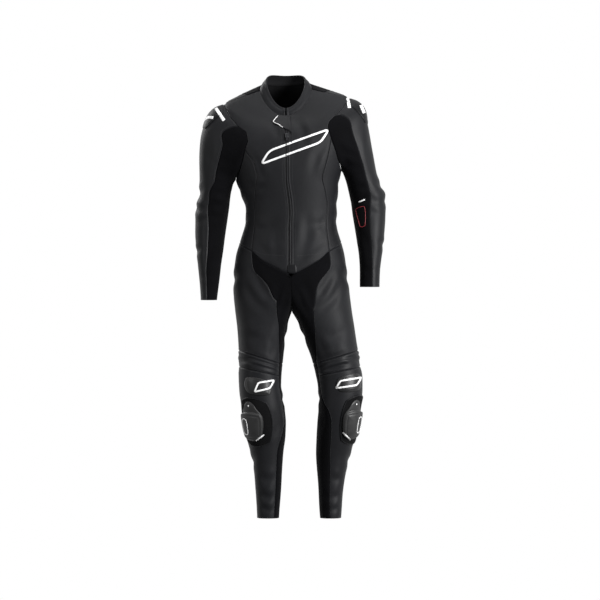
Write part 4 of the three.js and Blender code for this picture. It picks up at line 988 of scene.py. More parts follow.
PRINCESS = {
    "left": [(126, -368), (117, -306), (109, -263), (122, -217)],
    "right": [(-112, -368), (-111, -329), (-106, -257), (-116, -217)],
}
SLEEVE_SEAM = {
    "left": [(172, -62), (196, -79), (205, -112), (217, -151), (236, -211), (252, -273),
             (264, -318), (263, -378), (264, -430), (270, -503), (272, -553)],
    "right": [(-192, -104), (-216, -118), (-220, -174), (-231, -217), (-243, -276),
              (-262, -324), (-266, -385), (-264, -450), (-267, -510), (-271, -580)],
}
STRETCH_FRONT = {
    "left": [(135, -562), (113, -589), (93, -615), (86, -645), (82, -691), (82, -747),
             (85, -800)],
    "right": [(-112, -576), (-86, -599), (-66, -625), (-53, -658), (-40, -707), (-33, -747),
              (-32, -800)],
}
CALF_LINE = {
    "left": [(CALF_FRONT, KNEE_LOW), (153, 8.5), (138, 9.6), (122, 10.2), (112, 10.8),
             (108, 11.6), (104, 13), (98, 14), (96, HEM)],
    "right": [(CALF_FRONT, KNEE_LOW), (158, 9), (160, 10.5), (150, 11.6), (136, 12.4),
              (128, 13.2), (126, 14), (124, HEM)],
}
RIBS = 3
STITCHED = ("front_panel", "side_panel", "sleeve_leather", "thigh", "shin", "back_panel",
            "knee_accordion")


def torso_ridge(sign, start, end, count):
    rows = np.linspace(start, end, count + 1)
    eased = smooth((rows - RIDGE_END) / (RIDGE_YOKE - RIDGE_END))
    angles = np.where(rows >= RIDGE_YOKE, RIDGE_ANGLE, 90 - (90 - RIDGE_ANGLE) * eased)
    return np.stack([sign * angles, rows], 1)


def waist_line(sign, start, end, count):
    return waist_place(sign * np.linspace(start, end, count + 1))


def leg_line(start, end, count):
    """The same waist places as seen from a leg."""
    return np.stack([90 - np.linspace(start, end, count + 1), np.zeros(count + 1)], 1)


def hole_lines(side, start, end, count):
    angles = np.linspace(start, end, count + 1)
    return armholes[side][1](angles), np.stack([angles, np.zeros(count + 1)], 1)


waist_start = float(placket_angle(torso_row_at(0, waist_height(0))))
neck_start = float(placket_angle(NECK))
zip_rows = {}
back_seams = {}

for side in SIDES:
    sign = 1 if side == "left" else -1
    knots, hole_place = armholes[side]
    arch = knots[ARCH_POINT + 1]
    join = knots[SEAM_POINT + 1]
    back_join = knots[len(knots) - 1 - BACK_SEAM_POINT - 1]
    back_arch = 360 - arch * 0.8
    top_torso, top_limb = hole_lines(side, 0, arch, HOLE_TOP)
    front_torso, front_limb = hole_lines(side, arch, join, HOLE_LOW)
    pit_torso, pit_limb = hole_lines(side, join, back_join, PIT_COUNT)
    low_torso, low_limb = hole_lines(side, back_join, back_arch, HOLE_LOW)
    rear_torso, rear_limb = hole_lines(side, back_arch, 360, HOLE_TOP)
    rear_torso[-1] = (sign * 90, top_torso[0, 1])

    bottom = waist_line(sign, waist_start, CORNER, WAIST_FRONT)
    top = line_of(sign * neck_start, sign * RIDGE_ANGLE, NECK_FRONT, NECK)
    ridge_line = chain(top_torso[:1], torso_ridge(sign, RIDGE_END, RIDGE_YOKE, K),
                       torso_ridge(sign, RIDGE_YOKE, NECK, K))
    spots = locate(torso_point, PRINCESS[side], (-95, 95), NECK)
    princess = sample(torso_point, [bottom[-1], *spots, pit_torso[0]],
                      CENTRE_COUNT - UPPER_COUNT)
    outside = chain(princess, front_torso[::-1], top_torso[::-1], ridge_line)
    last = CENTRE_COUNT - HOLE_TOP - RIDGE_COUNT
    rows = outside[:, 1].copy()
    steps = np.arange(len(rows) - last)
    rows[last:] = rows[last] + (NECK - rows[last]) * steps / (len(rows) - 1 - last)
    centre = np.stack([sign * placket_angle(rows), rows], 1)
    centre[0] = bottom[0]
    zip_rows[side] = centre[:, 1]
    panel(f"front_panel_{side}", "torso", torso_point, "torso", side,
          [bottom, top, centre, outside], (leather_main, lining), "leather", flush=("first",))

    side_bottom = waist_line(sign, CORNER, SIDE_SEAM, PIT_COUNT)
    side_seam = sample(torso_point, [
        side_bottom[-1], (sign * (SIDE_SEAM + 4), 7), (sign * (SIDE_SEAM + 6), 9.5),
        pit_torso[-1],
    ], CENTRE_COUNT - UPPER_COUNT)
    panel(f"side_panel_{side}", "torso", torso_point, "torso", side,
          [side_bottom, pit_torso, princess, side_seam], (leather_main, lining), "leather")
    back_seams[side] = chain(side_seam, low_torso, rear_torso, ridge_line[:K + 1])

    sleeve = sleeves[side]
    part = f"sleeve_{side}"
    count = 12 * K
    spots = locate(sleeve, SLEEVE_SEAM[side], (0, 180), CUFF)
    front_places = np.concatenate([spots, [[CUFF_ANGLE, CUFF]]])
    front_line = sample(sleeve, [top_limb[-1], *front_places], count)
    back_places = np.stack([356 - 0.94 * front_places[:, 0], front_places[:, 1]], 1)
    back_line = sample(sleeve, [rear_limb[0], *back_places], count)
    leather_top = chain(turned(rear_limb, -360), top_limb)
    front_end, back_end = front_line[-1], back_line[-1]
    panel(f"sleeve_leather_{side}", part, sleeve, "sleeve", side, [
        leather_top, line_of(back_end[0] - 360, front_end[0], len(leather_top) - 1, CUFF),
        turned(back_line, -360), front_line,
    ], (leather_plain, lining), "leather", open_edges=("top",))
    stretch_top = chain(front_limb, pit_limb, low_limb)
    panel(f"sleeve_stretch_{side}", part, sleeve, "sleeve", side, [
        stretch_top, line_of(front_end[0], back_end[0], len(stretch_top) - 1, CUFF),
        front_line, back_line,
    ], (stretch, lining), "stretch", open_edges=("top",))

    leg = legs[side]
    part = f"leg_{side}"
    front_top = np.concatenate([leg_line(0, 0, 1)[:1], leg_line(waist_start, CORNER, WAIST_FRONT)])
    rise = line_of(90, 180, 5 * K, 0)
    rise_back = line_of(180, RISE_BACK, 3 * K, 0)
    rise_seat = line_of(RISE_BACK, 270, 3 * K, 0)
    stretch_edge = chain(front_top[::-1], rise, rise_back)
    side_top = leg_line(CORNER, SIDE_SEAM, PIT_COUNT)
    seat_top = leg_line(SIDE_SEAM, 180, 5 * K)
    strip = STRIP_FRONT[side]
    spots = locate(leg, STRETCH_FRONT[side], (0, 180), HEM)
    thigh_front = eased(sample(leg, [front_top[-1], *spots, (strip, KNEE_TOP)], 10 * K))

    def down_leg(first, middle, end, rows=thigh_front[:, 1]):
        return np.stack([through([0, KNEE_TOP / 2, KNEE_TOP], [first, middle, end], rows),
                         rows], 1)

    thigh_back = down_leg(RISE_BACK, 217, STRIP_BACK)
    panel(f"inner_thigh_stretch_{side}", part, leg, "leg", side, [
        stretch_edge, line_of(strip, STRIP_BACK, len(stretch_edge) - 1, KNEE_TOP),
        thigh_front, thigh_back,
    ], (stretch, lining), "stretch")
    thigh_side = down_leg(90 - SIDE_SEAM, THIGH_SIDE - 1, THIGH_SIDE)
    panel(f"thigh_front_{side}", part, leg, "leg", side, [
        side_top[::-1], line_of(THIGH_SIDE, strip, PIT_COUNT, KNEE_TOP), thigh_side,
        thigh_front,
    ], (leather_main, lining), "leather")
    seat_edge = chain(turned(rise_seat, -360), seat_top[::-1])
    panel(f"thigh_back_{side}", part, leg, "leg", side, [
        seat_edge, line_of(STRIP_BACK - 360, THIGH_SIDE, len(seat_edge) - 1, KNEE_TOP),
        turned(thigh_back, -360), thigh_side,
    ], (leather_plain, lining), "leather")

    inner_calf = sample(leg, CALF_LINE[side], 9 * K)
    outer_calf = sample(leg, [(KNEE_SIDE, KNEE_LOW), (-56, 9), (CALF_SIDE, 12),
                              (CALF_SIDE, HEM)], 9 * K)
    knee_top = chain(line_of(KNEE_SIDE, THIGH_SIDE, K, KNEE_TOP),
                     line_of(THIGH_SIDE, strip, PIT_COUNT, KNEE_TOP))
    lean = np.arange(len(knee_top)) / (len(knee_top) - 1)
    knee_low = np.stack([knee_top[:, 0] + (CALF_FRONT - strip) * lean,
                         np.full(len(knee_top), KNEE_LOW)], 1)
    panel(f"shin_front_{side}", part, leg, "leg", side, [
        knee_low, line_of(CALF_SIDE, inner_calf[-1, 0], len(knee_low) - 1, HEM), outer_calf,
        inner_calf,
    ], (leather_plain, lining), "leather", open_edges=("top",))

    def knee_ribs(places, base, normals, seam, far):
        up = (places[..., 1] - KNEE_TOP) / (KNEE_LOW - KNEE_TOP)
        across = np.minimum(far["first"], far["last"])
        share = far["first"] / (far["first"] + far["last"])
        arch = up + 0.13 * np.sin(np.pi * share) * np.sin(np.pi * up)
        uneven = 0.75 + 0.35 * np.sin(5.2 * share + 2.1 * up + (0.8 if side == "left" else 2.3))
        tuck = 1 - np.abs(np.cos(np.pi * arch * RIBS)) ** 3
        return 2.5 * uneven * tuck * smooth(across / 30) - 0.6

    panel(f"knee_accordion_{side}", part, leg, "leg", side, [
        knee_top, knee_low, line_of((KNEE_SIDE, KNEE_TOP), (KNEE_SIDE, KNEE_LOW), 8 * K),
        line_of((strip, KNEE_TOP), (CALF_FRONT, KNEE_LOW), 8 * K),
    ], (leather_plain, lining), "leather", relief=knee_ribs, spacing=3.2)
    panel(f"calf_stretch_{side}", part, leg, "leg", side, [
        line_of(strip, CALF_TOP, 8 * K, KNEE_TOP),
        line_of(inner_calf[-1, 0], 360 + CALF_SIDE, 8 * K, HEM),
        chain(line_of((strip, KNEE_TOP), (CALF_FRONT, KNEE_LOW), 2 * K), inner_calf),
        chain(line_of((CALF_TOP, KNEE_TOP), (CALF_TOP, KNEE_LOW), 2 * K),
              turned(outer_calf, 360)),
    ], (stretch, lining), "stretch", open_edges=("top",))


def around_back(places):
    places = places.copy()
    places[:, 0] = np.where(places[:, 0] < 0, places[:, 0] + 360, places[:, 0])
    return places


back_bottom = chain(waist_line(1, SIDE_SEAM, 180, 5 * K),
                    around_back(waist_line(-1, SIDE_SEAM, 180, 5 * K)[::-1]))
yoke_low = sample(torso_point, [
    (RIDGE_ANGLE, RIDGE_YOKE), (118, 17), (150, 15.9), (180, 15.6), (210, 15.9), (242, 17),
    (360 - RIDGE_ANGLE, RIDGE_YOKE),
], 10 * K)
panel("back_panel", "torso", torso_point, "torso", "left",
      [back_bottom, yoke_low, back_seams["left"], around_back(back_seams["right"])],
      (leather_main, lining), "leather", spacing=7)
yoke_top = line_of(RIDGE_ANGLE, 360 - RIDGE_ANGLE, 10 * K, NECK)
panel("back_yoke", "torso", torso_point, "torso", "left", [
    yoke_low, yoke_top, torso_ridge(1, RIDGE_YOKE, NECK, K),
    around_back(torso_ridge(-1, RIDGE_YOKE, NECK, K)),
], (stretch, lining), "stretch")


def placket_edge(sign, side):
    return np.stack([sign * placket_angle(zip_rows[side]), zip_rows[side]], 1)


right_edge, left_edge = placket_edge(-1, "right"), placket_edge(1, "left")


ZIP_SLOT = -5.6  # from the middle of the placket


def zip_slit(places, base, normals, seam, far):
    """The zip shows in a slot on the wearer's right, beside a fine welt and a thicker one."""
    middle = np.minimum(far["first"], far["last"])
    across = far["first"] - (far["first"] + far["last"]) / 2
    slot = 2.4 * np.exp(-((across - ZIP_SLOT) / 2.3) ** 4)
    groove = 1.5 * np.exp(-((across - 2.2) / 1.1) ** 2)
    welts = 0.5 * np.exp(-((across + 1.3) / 1.2) ** 2) + 1.3 * np.exp(-((across - 6.0) / 2.2) ** 2)
    return (welts - slot - groove) * smooth(middle / 3)


panel("zip_placket", "torso", torso_point, "torso", "left", [
    line_of(right_edge[0], left_edge[0], 4), line_of(right_edge[-1], left_edge[-1], 4),
    right_edge, left_edge,
], (leather_main, lining), "stretch", relief=zip_slit, spacing=1.2, flush=("first", "last"))


# Stand collar, open at the front
COLLAR_SLIT = 1.2
COLLAR_LOW = -0.14  # the collar goes on a little below its seam, inside the neck


def collar_point(angle, row):
    low = torso_point(angle, np.full(np.shape(angle), float(NECK)))
    c = np.cos(np.radians(angle))
    s = np.sin(np.radians(angle))
    side, front, back, cx, half, cy, deep_front, deep_back = 52, -38, 74, -10.5, 63, 9, 56, 60
    high = np.stack([
        cx + half * s, cy - np.where(c > 0, deep_front, deep_back) * c,
        side + (front - back) / 2 * c + ((front + back) / 2 - side) * c * c,
    ], -1)
    row = np.asarray(row, float)[..., None]
    belly = 3 * np.sin(np.pi * np.clip(row, 0, 1))
    return low + (high - low) * row + np.stack([s, -c, 0 * s], -1) * belly


def bound_edge(places, base, normals, seam, far):
    """A rolled binding along the collar's top and its front ends."""
    edge = np.minimum(far["top"], np.minimum(far["first"], far["last"]))
    roll = np.sqrt(np.clip(1 - ((edge - 3.2) / 3.2) ** 2, 0, 1))
    return 1.5 * roll - 0.7 * np.exp(-((edge - 7.0) / 0.9) ** 2) - 0.3


panel("collar", "collar", collar_point, "torso", "left", [
    line_of(COLLAR_SLIT, 360 - COLLAR_SLIT, 120, COLLAR_LOW),
    line_of(COLLAR_SLIT, 360 - COLLAR_SLIT, 120, 1),
    line_of((COLLAR_SLIT, COLLAR_LOW), (COLLAR_SLIT, 1), 20),
    line_of((360 - COLLAR_SLIT, COLLAR_LOW), (360 - COLLAR_SLIT, 1), 20),
], (leather_plain, lining), "leather", relief=bound_edge, spacing=3.5,
    open_edges=("bottom", "top", "first", "last"))

# Topstitching: a row of thread along each sewn edge of a panel, stitch by stitch
STITCH_PITCH = 4.4
STITCH_LONG = 2.9
STITCH_HALF = 0.38
STITCH_BOX = [(-1, -1, -1), (-1, 1, -1), (-0.7, 0.7, 1), (-0.7, -0.7, 1), (1, -1, -1), (1, 1, -1),
              (0.7, 0.7, 1), (0.7, -0.7, 1)]
STITCH_FACES = [(0, 3, 2, 1), (4, 5, 6, 7), (3, 7, 6, 2), (0, 4, 7, 3), (1, 2, 6, 5)]


def stitch_row(points, normals, verts, faces):
    steps = np.linalg.norm(np.diff(points, axis=0), axis=1)
    knots = np.concatenate([[0], np.cumsum(steps)])
    count = int((knots[-1] - 8) / STITCH_PITCH)
    if count < 2:
        return
    at = (np.arange(count) + 0.5) * (knots[-1] - 8) / count + 4
    spots = np.stack([np.interp(at, knots, points[:, c]) for c in range(3)], -1)
    out = np.stack([np.interp(at, knots, normals[:, c]) for c in range(3)], -1)
    out /= np.linalg.norm(out, axis=1)[:, None]
    ahead = np.stack([np.interp(at + 1, knots, points[:, c]) for c in range(3)], -1)
    way = ahead - spots
    way /= np.maximum(np.linalg.norm(way, axis=1), 1e-9)[:, None]
    across = np.cross(out, way)
    start = sum(len(part) for part in verts)
    for a, b, c in STITCH_BOX:
        verts.append(spots + way * STITCH_LONG / 2 * a + across * STITCH_HALF * b
                     + out * (0.3 * c + 0.05))
    index = start + np.arange(count)
    for face in STITCH_FACES:
        faces.append(np.stack([index + corner * count for corner in face], -1))


def stitch(name):
    p = patches[name]
    verts = []
    faces = []
    rows = {
        "bottom": (STITCH_LINE, slice(STITCH_LINE, -STITCH_LINE)),
        "top": (-STITCH_LINE - 1, slice(STITCH_LINE, -STITCH_LINE)),
        "first": (slice(STITCH_LINE, -STITCH_LINE), STITCH_LINE),
        "last": (slice(STITCH_LINE, -STITCH_LINE), -STITCH_LINE - 1),
    }
    for at in rows.values():
        stitch_row(p["outer"][at], p["normals"][at], verts, faces)
    mesh = mesh_object(f"{name}_stitching", np.concatenate(verts), np.concatenate(faces).tolist(),
                       None, (thread,))
    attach(mesh, BODY)


for name in [name for name in patches if name.startswith(STITCHED)]:
    stitch(name)

# Everything laid so far as one surface, for the trims that go on next
laid_grids = [p["outer"] for p in patches.values()]


def surface_tree():
    points = []
    faces = []
    offset = 0
    for grid in laid_grids:
        m, n = grid.shape[:2]
        index = np.arange(m * n).reshape(m, n) + offset
        points.append(grid.reshape(-1, 3))
        faces.append(np.stack([index[:-1, :-1], index[:-1, 1:], index[1:, 1:], index[1:, :-1]],
                              -1).reshape(-1, 4))
        offset += m * n
    return BVHTree.FromPolygons(np.concatenate(points).tolist(), np.concatenate(faces).tolist())


cloth = surface_tree()


def view_axes(azimuth):
    a = math.radians(azimuth)
    return np.array([math.cos(a), math.sin(a), 0]), np.array([-math.sin(a), math.cos(a), 0])


def laid(across, up, azimuth):
    """Points of the cloth, and its normals, that a view from an azimuth shows."""
    side_way, forward = view_axes(azimuth)
    shape = np.shape(across)
    spots = np.empty((np.size(across), 3))
    normals = np.empty_like(spots)
    for k, (a, z) in enumerate(zip(np.ravel(across), np.ravel(up))):
        start = side_way * a - forward * 450
        start[2] = z
        hit, normal, _, _ = cloth.ray_cast(Vector(start), Vector(forward))
        if hit is None:
            start = side_way * a
            start[2] = z
            hit, normal, _, _ = cloth.find_nearest(Vector(start))
        normal = np.array(normal)
        if normal @ forward > 0:
            normal = -normal
        spots[k] = hit
        normals[k] = normal
    return spots.reshape(*shape, 3), normals.reshape(*shape, 3)


def resample(path, step, closed):
    path = np.asarray(path, float)
    if closed:
        path = np.concatenate([path, path[:1]])
    out = []
    for a, b in zip(path[:-1], path[1:]):
        count = max(1, int(round(np.linalg.norm(b - a) / step)))
        out.append(a + (b - a) * np.arange(count)[:, None] / count)
    if not closed:
        out.append(path[-1:])
    return np.concatenate(out)


def rounded_path(path, radius, closed):
    """Cuts each corner of a path with a small arc."""
    path = np.asarray(path, float)
    count = len(path)
    out = []
    for k in range(count):
        if not closed and k in (0, count - 1):
            out.append(path[k])
            continue
        before, here, after = path[k - 1], path[k], path[(k + 1) % count]
        a = before - here
        b = after - here
        reach = min(radius, 0.45 * np.linalg.norm(a), 0.45 * np.linalg.norm(b))
        a = here + a / np.linalg.norm(a) * reach
        b = here + b / np.linalg.norm(b) * reach
        for t in (0, 0.25, 0.5, 0.75, 1):
            out.append((1 - t) ** 2 * a + 2 * t * (1 - t) * here + t * t * b)
    return np.array(out)


def swept(name, grid, outline, closed, material):
    """A closed body from rings: grid is rings by points of each ring."""
    m, n = grid.shape[:2]
    index = np.arange(m * n).reshape(m, n)
    after = np.roll(index, -1, axis=1)
    ahead = np.roll(index, -1, axis=0) if closed else index[1:]
    here = index if closed else index[:-1]
    around = after if closed else after[:-1]
    beyond = np.roll(after, -1, axis=0) if closed else after[1:]
    faces = np.stack([here, around, beyond, ahead], -1).reshape(-1, 4).tolist()
    if not closed:
        faces.append(index[0][::-1].tolist())
        faces.append(index[-1].tolist())
    verts = grid.reshape(-1, 3)
    volume = 0.0
    for face in faces:
        for k in range(1, len(face) - 1):
            volume += verts[face[0]] @ np.cross(verts[face[k]], verts[face[k + 1]])
    if volume < 0:
        faces = [face[::-1] for face in faces]
    along = np.repeat(np.arange(m)[:, None] * outline, n, 1)
    uv = np.stack([along, np.repeat(np.arange(n)[None], m, 0) * 1.0], -1).reshape(-1, 2)
    return mesh_object(name, verts, faces, uv, (material,))


def dress(obj, replaced=(), body=BODY):
    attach(obj, body)
    for node in replaced:
        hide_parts(node)
    return obj


def ribbon(name, path, half, azimuth, material, closed=False, lift=0.5, corner=5.0,
           step=2.5):
    """A flat printed or moulded line laid on the cloth, seen from an azimuth."""
    path = resample(rounded_path(path, corner, closed), step, closed)
    if closed:
        before, after = np.roll(path, 1, axis=0), np.roll(path, -1, axis=0)
    else:
        before = np.concatenate([path[:1], path[:-1]])
        after = np.concatenate([path[1:], path[-1:]])
    way = after - before
    way /= np.maximum(np.linalg.norm(way, axis=1), 1e-9)[:, None]
    across = np.stack([-way[:, 1], way[:, 0]], 1)
    profile = np.array([(-1, -0.8), (-1, 0.35), (-0.8, 1), (0, 1.1), (0.8, 1), (1, 0.35),
                        (1, -0.8)])
    spots = path[:, None] + across[:, None] * (profile[:, 0] * half)[None, :, None]
    base, normals = laid(spots[..., 0], spots[..., 1], azimuth)
    grid = base + normals * (profile[:, 1] * lift)[None, :, None]
    return dress(swept(name, grid, step, closed, material))


def tube(name, spots, radius, material, closed=False, sides=8):
    """A round cord through 3D points."""
    spots = np.asarray(spots, float)
    if closed:
        way = np.roll(spots, -1, axis=0) - np.roll(spots, 1, axis=0)
    else:
        way = np.gradient(spots, axis=0)
    way /= np.linalg.norm(way, axis=1)[:, None]
    up = np.array([0.13, 0.21, 0.97])
    a = np.cross(way, up)
    a /= np.linalg.norm(a, axis=1)[:, None]
    b = np.cross(way, a)
    turn = np.arange(sides) * 2 * math.pi / sides
    radius = np.broadcast_to(np.asarray(radius, float), len(spots))
    grid = (spots[:, None] + radius[:, None, None]
            * (a[:, None] * np.cos(turn)[None, :, None] + b[:, None] * np.sin(turn)[None, :, None]))
    return swept(name, grid, 2.0, closed, material)


def overlay(name, point, kind, side, shape, height, count, material, replaced=(),
            floor=-1.2, body=BODY):
    """A piece that lies on a tube: places from shape(s, t), outer face at height(s, t)."""
    s, t = np.meshgrid(np.linspace(-1, 1, count[0] + 1), np.linspace(-1, 1, count[1] + 1))
    places = shape(s, t)
    base = point(places[..., 0], places[..., 1])
    normals = grid_normals(base, outward(kind, side, base, places))
    outer = base + normals * height(s, t)[..., None]
    laid_grids.append(outer)
    inner = base + normals * floor
    uv = np.stack([lengths_along(base, 1), lengths_along(base, 0)], -1)
    obj = shell_mesh(name, outer, inner, uv, (material, material))
    return dress(obj, replaced, body)


def squircle(s, t, roundness):
    return (s * np.sqrt(1 - roundness * t * t / 2), t * np.sqrt(1 - roundness * s * s / 2))


def rim_of(s, t):
    return np.maximum(np.abs(s), np.abs(t))


# Throat flap over the top of the zip, with its white cord
FLAP_LEFT = [(-33, -63), (-38, -68), (-52, -85), (-36, -96), (-20, -107)]
FLAP_RIGHT = [(4, -64), (5, -74), (6, -88), (8, -106), (9, -126)]
flap_left = locate(torso_point, FLAP_LEFT, (-95, 95), NECK)
flap_right = locate(torso_point, FLAP_RIGHT, (-95, 95), NECK)
FLAP_HEIGHT = 3.9


def flap_place(s, t):
    at = (1 - t) / 2 * (len(FLAP_LEFT) - 1)
    knots = np.arange(len(FLAP_LEFT))
    share = (s + 1) / 2
    angle = (through(knots, flap_left[:, 0], at) * (1 - share)
             + through(knots, flap_right[:, 0], at) * share)
    row = (through(knots, flap_left[:, 1], at) * (1 - share)
           + through(knots, flap_right[:, 1], at) * share)
    return np.stack([angle, row], -1)


def flap_height(s, t):
    edge = 1 - rim_of(s, t)
    return FLAP_HEIGHT - 1.4 * (1 - smooth(edge / 0.12)) + 0.4 * np.exp(-((edge - 0.2) / 0.1) ** 2)


overlay("throat_flap_leather", torso_point, "torso", "left", flap_place, flap_height, (28, 40),
        leather_plain, ("throat_flap",), floor=0.6)
cord_t = np.linspace(0.54, -0.97, 46)
cord_places = flap_place(np.full(46, -0.93), cord_t)
cord_spots = torso_point(cord_places[:, 0], cord_places[:, 1])
near_by = grid_normals(
    torso_point(*np.moveaxis(np.stack([cord_places, cord_places + [0.5, 0]]), -1, 0)),
    np.broadcast_to(np.array([0.0, -1, 0]), (2, 46, 3)))[0]
dress(tube("throat_flap_cord", cord_spots + near_by * (FLAP_HEIGHT + 0.2), 1.25, white_rubber),
      ("flap_piping",))

# Zip end tab, a little pad of leather at the foot of the zip
tab_centre = locate(torso_point, [(12, -566)], (-95, 95), NECK)[0]


def tab_place(s, t):
    a, b = squircle(s, t, 0.7)
    return np.stack([tab_centre[0] + 3.1 * a, tab_centre[1] + 0.24 * b], -1)


overlay("zip_end_tab_leather", torso_point, "torso", "left", tab_place,
        lambda s, t: 3.2 - 1.4 * (1 - smooth((1 - rim_of(s, t)) / 0.4)), (18, 18),
        leather_trim, ("zip_end_tab",))

# Zip teeth in the slit of the placket
torso_rows_of_zip = torso_row_at(np.zeros(196), np.linspace(SLIDER_Z - 6, -556, 196))
zip_line = torso_point(np.zeros(196), torso_rows_of_zip)
zip_out = np.stack([np.zeros(196), -np.gradient(zip_line[:, 2]), np.gradient(zip_line[:, 1])], 1)
zip_out /= np.linalg.norm(zip_out, axis=1)[:, None]
zip_out *= np.where(zip_out[:, 1] > 0, -1, 1)[:, None]
zip_way = np.gradient(zip_line, axis=0)
zip_way /= np.linalg.norm(zip_way, axis=1)[:, None]
tooth_verts = []
tooth_faces = []
CUBE = [(-1, -1, -1), (1, -1, -1), (1, 1, -1), (-1, 1, -1), (-0.8, -0.8, 1), (0.8, -0.8, 1),
        (0.8, 0.8, 1), (-0.8, 0.8, 1)]
CUBE_FACES = [(0, 3, 2, 1), (4, 5, 6, 7), (0, 1, 5, 4), (1, 2, 6, 5), (2, 3, 7, 6), (3, 0, 4, 7)]
for k in range(len(zip_line)):
    shift = 0.9 if k % 2 else -0.9
    start = len(tooth_verts)
    for a, b, c in CUBE:
        tooth_verts.append(zip_line[k] + np.array([ZIP_SLOT + shift + 1.3 * a, 0, 0])
                           + zip_way[k] * 0.75 * b + zip_out[k] * (0.45 * c - 1.2))
    tooth_faces += [tuple(start + q for q in face) for face in CUBE_FACES]
dress(mesh_object("zip_teeth", tooth_verts, tooth_faces, None, (zip_dark,)))
tape = np.stack([zip_line + np.array([ZIP_SLOT + a, 0, 0]) + zip_out * lift
                 for a, lift in ((-2.4, -1.6), (2.4, -1.6), (2.4, -2.6), (-2.4, -2.6))], 1)
dress(swept("zip_tape", tape, 2.2, False, zip_cloth))

# Patch and bar on the wearer's left forearm
patch_centre = locate(sleeves["left"], [(237, -393)], (0, 180), CUFF)[0]
bar_centre = locate(sleeves["left"], [(238, -343)], (0, 180), CUFF)[0]


def patch_place(s, t, scale=1.0):
    a, b = squircle(s, t, 0.5)
    taper = 1 - 0.3 * b
    return np.stack([patch_centre[0] + (17 * a - 3 * b) * taper * scale,
                     patch_centre[1] + 0.84 * b * scale], -1)


overlay("forearm_patch_pad", sleeves["left"], "sleeve", "left", patch_place,
        lambda s, t: 1.9 - 1.0 * (1 - smooth((1 - rim_of(s, t)) / 0.2)), (20, 26), stretch,
        ("forearm_patch",))
turns = np.linspace(0, 2 * np.pi, 72, endpoint=False)
square = np.stack([np.cos(turns), np.sin(turns)], 1)
square /= np.abs(square).max(1)[:, None]


def ring_on(point, kind, side, place, height, scale=0.93):
    ring = place(square[:, 0] * scale, square[:, 1] * scale)
    inside = place(square[:, 0] * scale * 0.9, square[:, 1] * scale * 0.9)
    spots = point(ring[:, 0], ring[:, 1])
    pair = np.stack([spots, point(inside[:, 0], inside[:, 1])])
    normals = grid_normals(pair, outward(kind, side, pair, np.stack([ring, inside])))[0]
    return spots + normals * height


dress(tube("forearm_patch_outline", ring_on(sleeves["left"], "sleeve", "left", patch_place, 1.9),
           0.9, red_print, True))
overlay("forearm_bar_print", sleeves["left"], "sleeve", "left",
        lambda s, t: np.stack([bar_centre[0] + 11 * s, bar_centre[1] + 0.07 * t], -1),
        lambda s, t: 2.2 - 0.5 * (1 - smooth((1 - rim_of(s, t)) / 0.3)), (14, 6), white_rubber,
        ("forearm_bar",))

# Shoulder protectors: a moulded cup with a raised spine and two vents
for side in SIDES:
    sleeve = sleeves[side]

    def cap_place(s, t):
        a, b = squircle(s, t, 0.6)
        return np.stack([-4 + a * 34, 2.1 + b * 1.9], -1)

    def cap_height(s, t):
        r = rim_of(s, t)
        dome = 1.2 + 2.4 * np.sqrt(np.clip(1 - r * r * 0.98, 0, 1))
        spine = 0.6 * np.exp(-(s / 0.16) ** 2) * smooth((0.86 - np.abs(t)) / 0.2)
        vents = 0
        for across, along in ((0.45, 0.1), (-0.45, 0.1)):
            vents = vents + 0.9 * np.exp(-(((s - across) / 0.09) ** 2 + ((t - along) / 0.3) ** 2) ** 2)
        lip = 0.5 * np.exp(-((r - 0.9) / 0.05) ** 2)
        return dome + spine + lip - vents

    overlay(f"shoulder_cup_{side}", sleeve, "sleeve", side, cap_place, cap_height, (44, 52),
            leather_trim, (f"shoulder_protector_{side}",), floor=0.2)

# Knee: armour cup, loop pile field with its leather rim, and the puck
KNEES = {
    "left": {"cup": (62, 8.2), "base": (36, 10.88), "puck": (46, 10.85)},
    "right": {"cup": (84, 8.38), "base": (62, 11.02), "puck": (55, 10.95)},
}


PUCK_SHOULDER = 0.5  # above this share of its height the puck is a low tab
PUCK_MARK = (0.42, -0.25, 0.3, 0.44)  # middle and half spans of the outline on the puck
STUD = (0.0, 0.78)


def spot_on(centre, wide, tall, roundness):
    def place(s, t):
        a, b = squircle(s, t, roundness)
        return np.stack([centre[0] - a * wide, centre[1] - b * tall], -1)
    return place


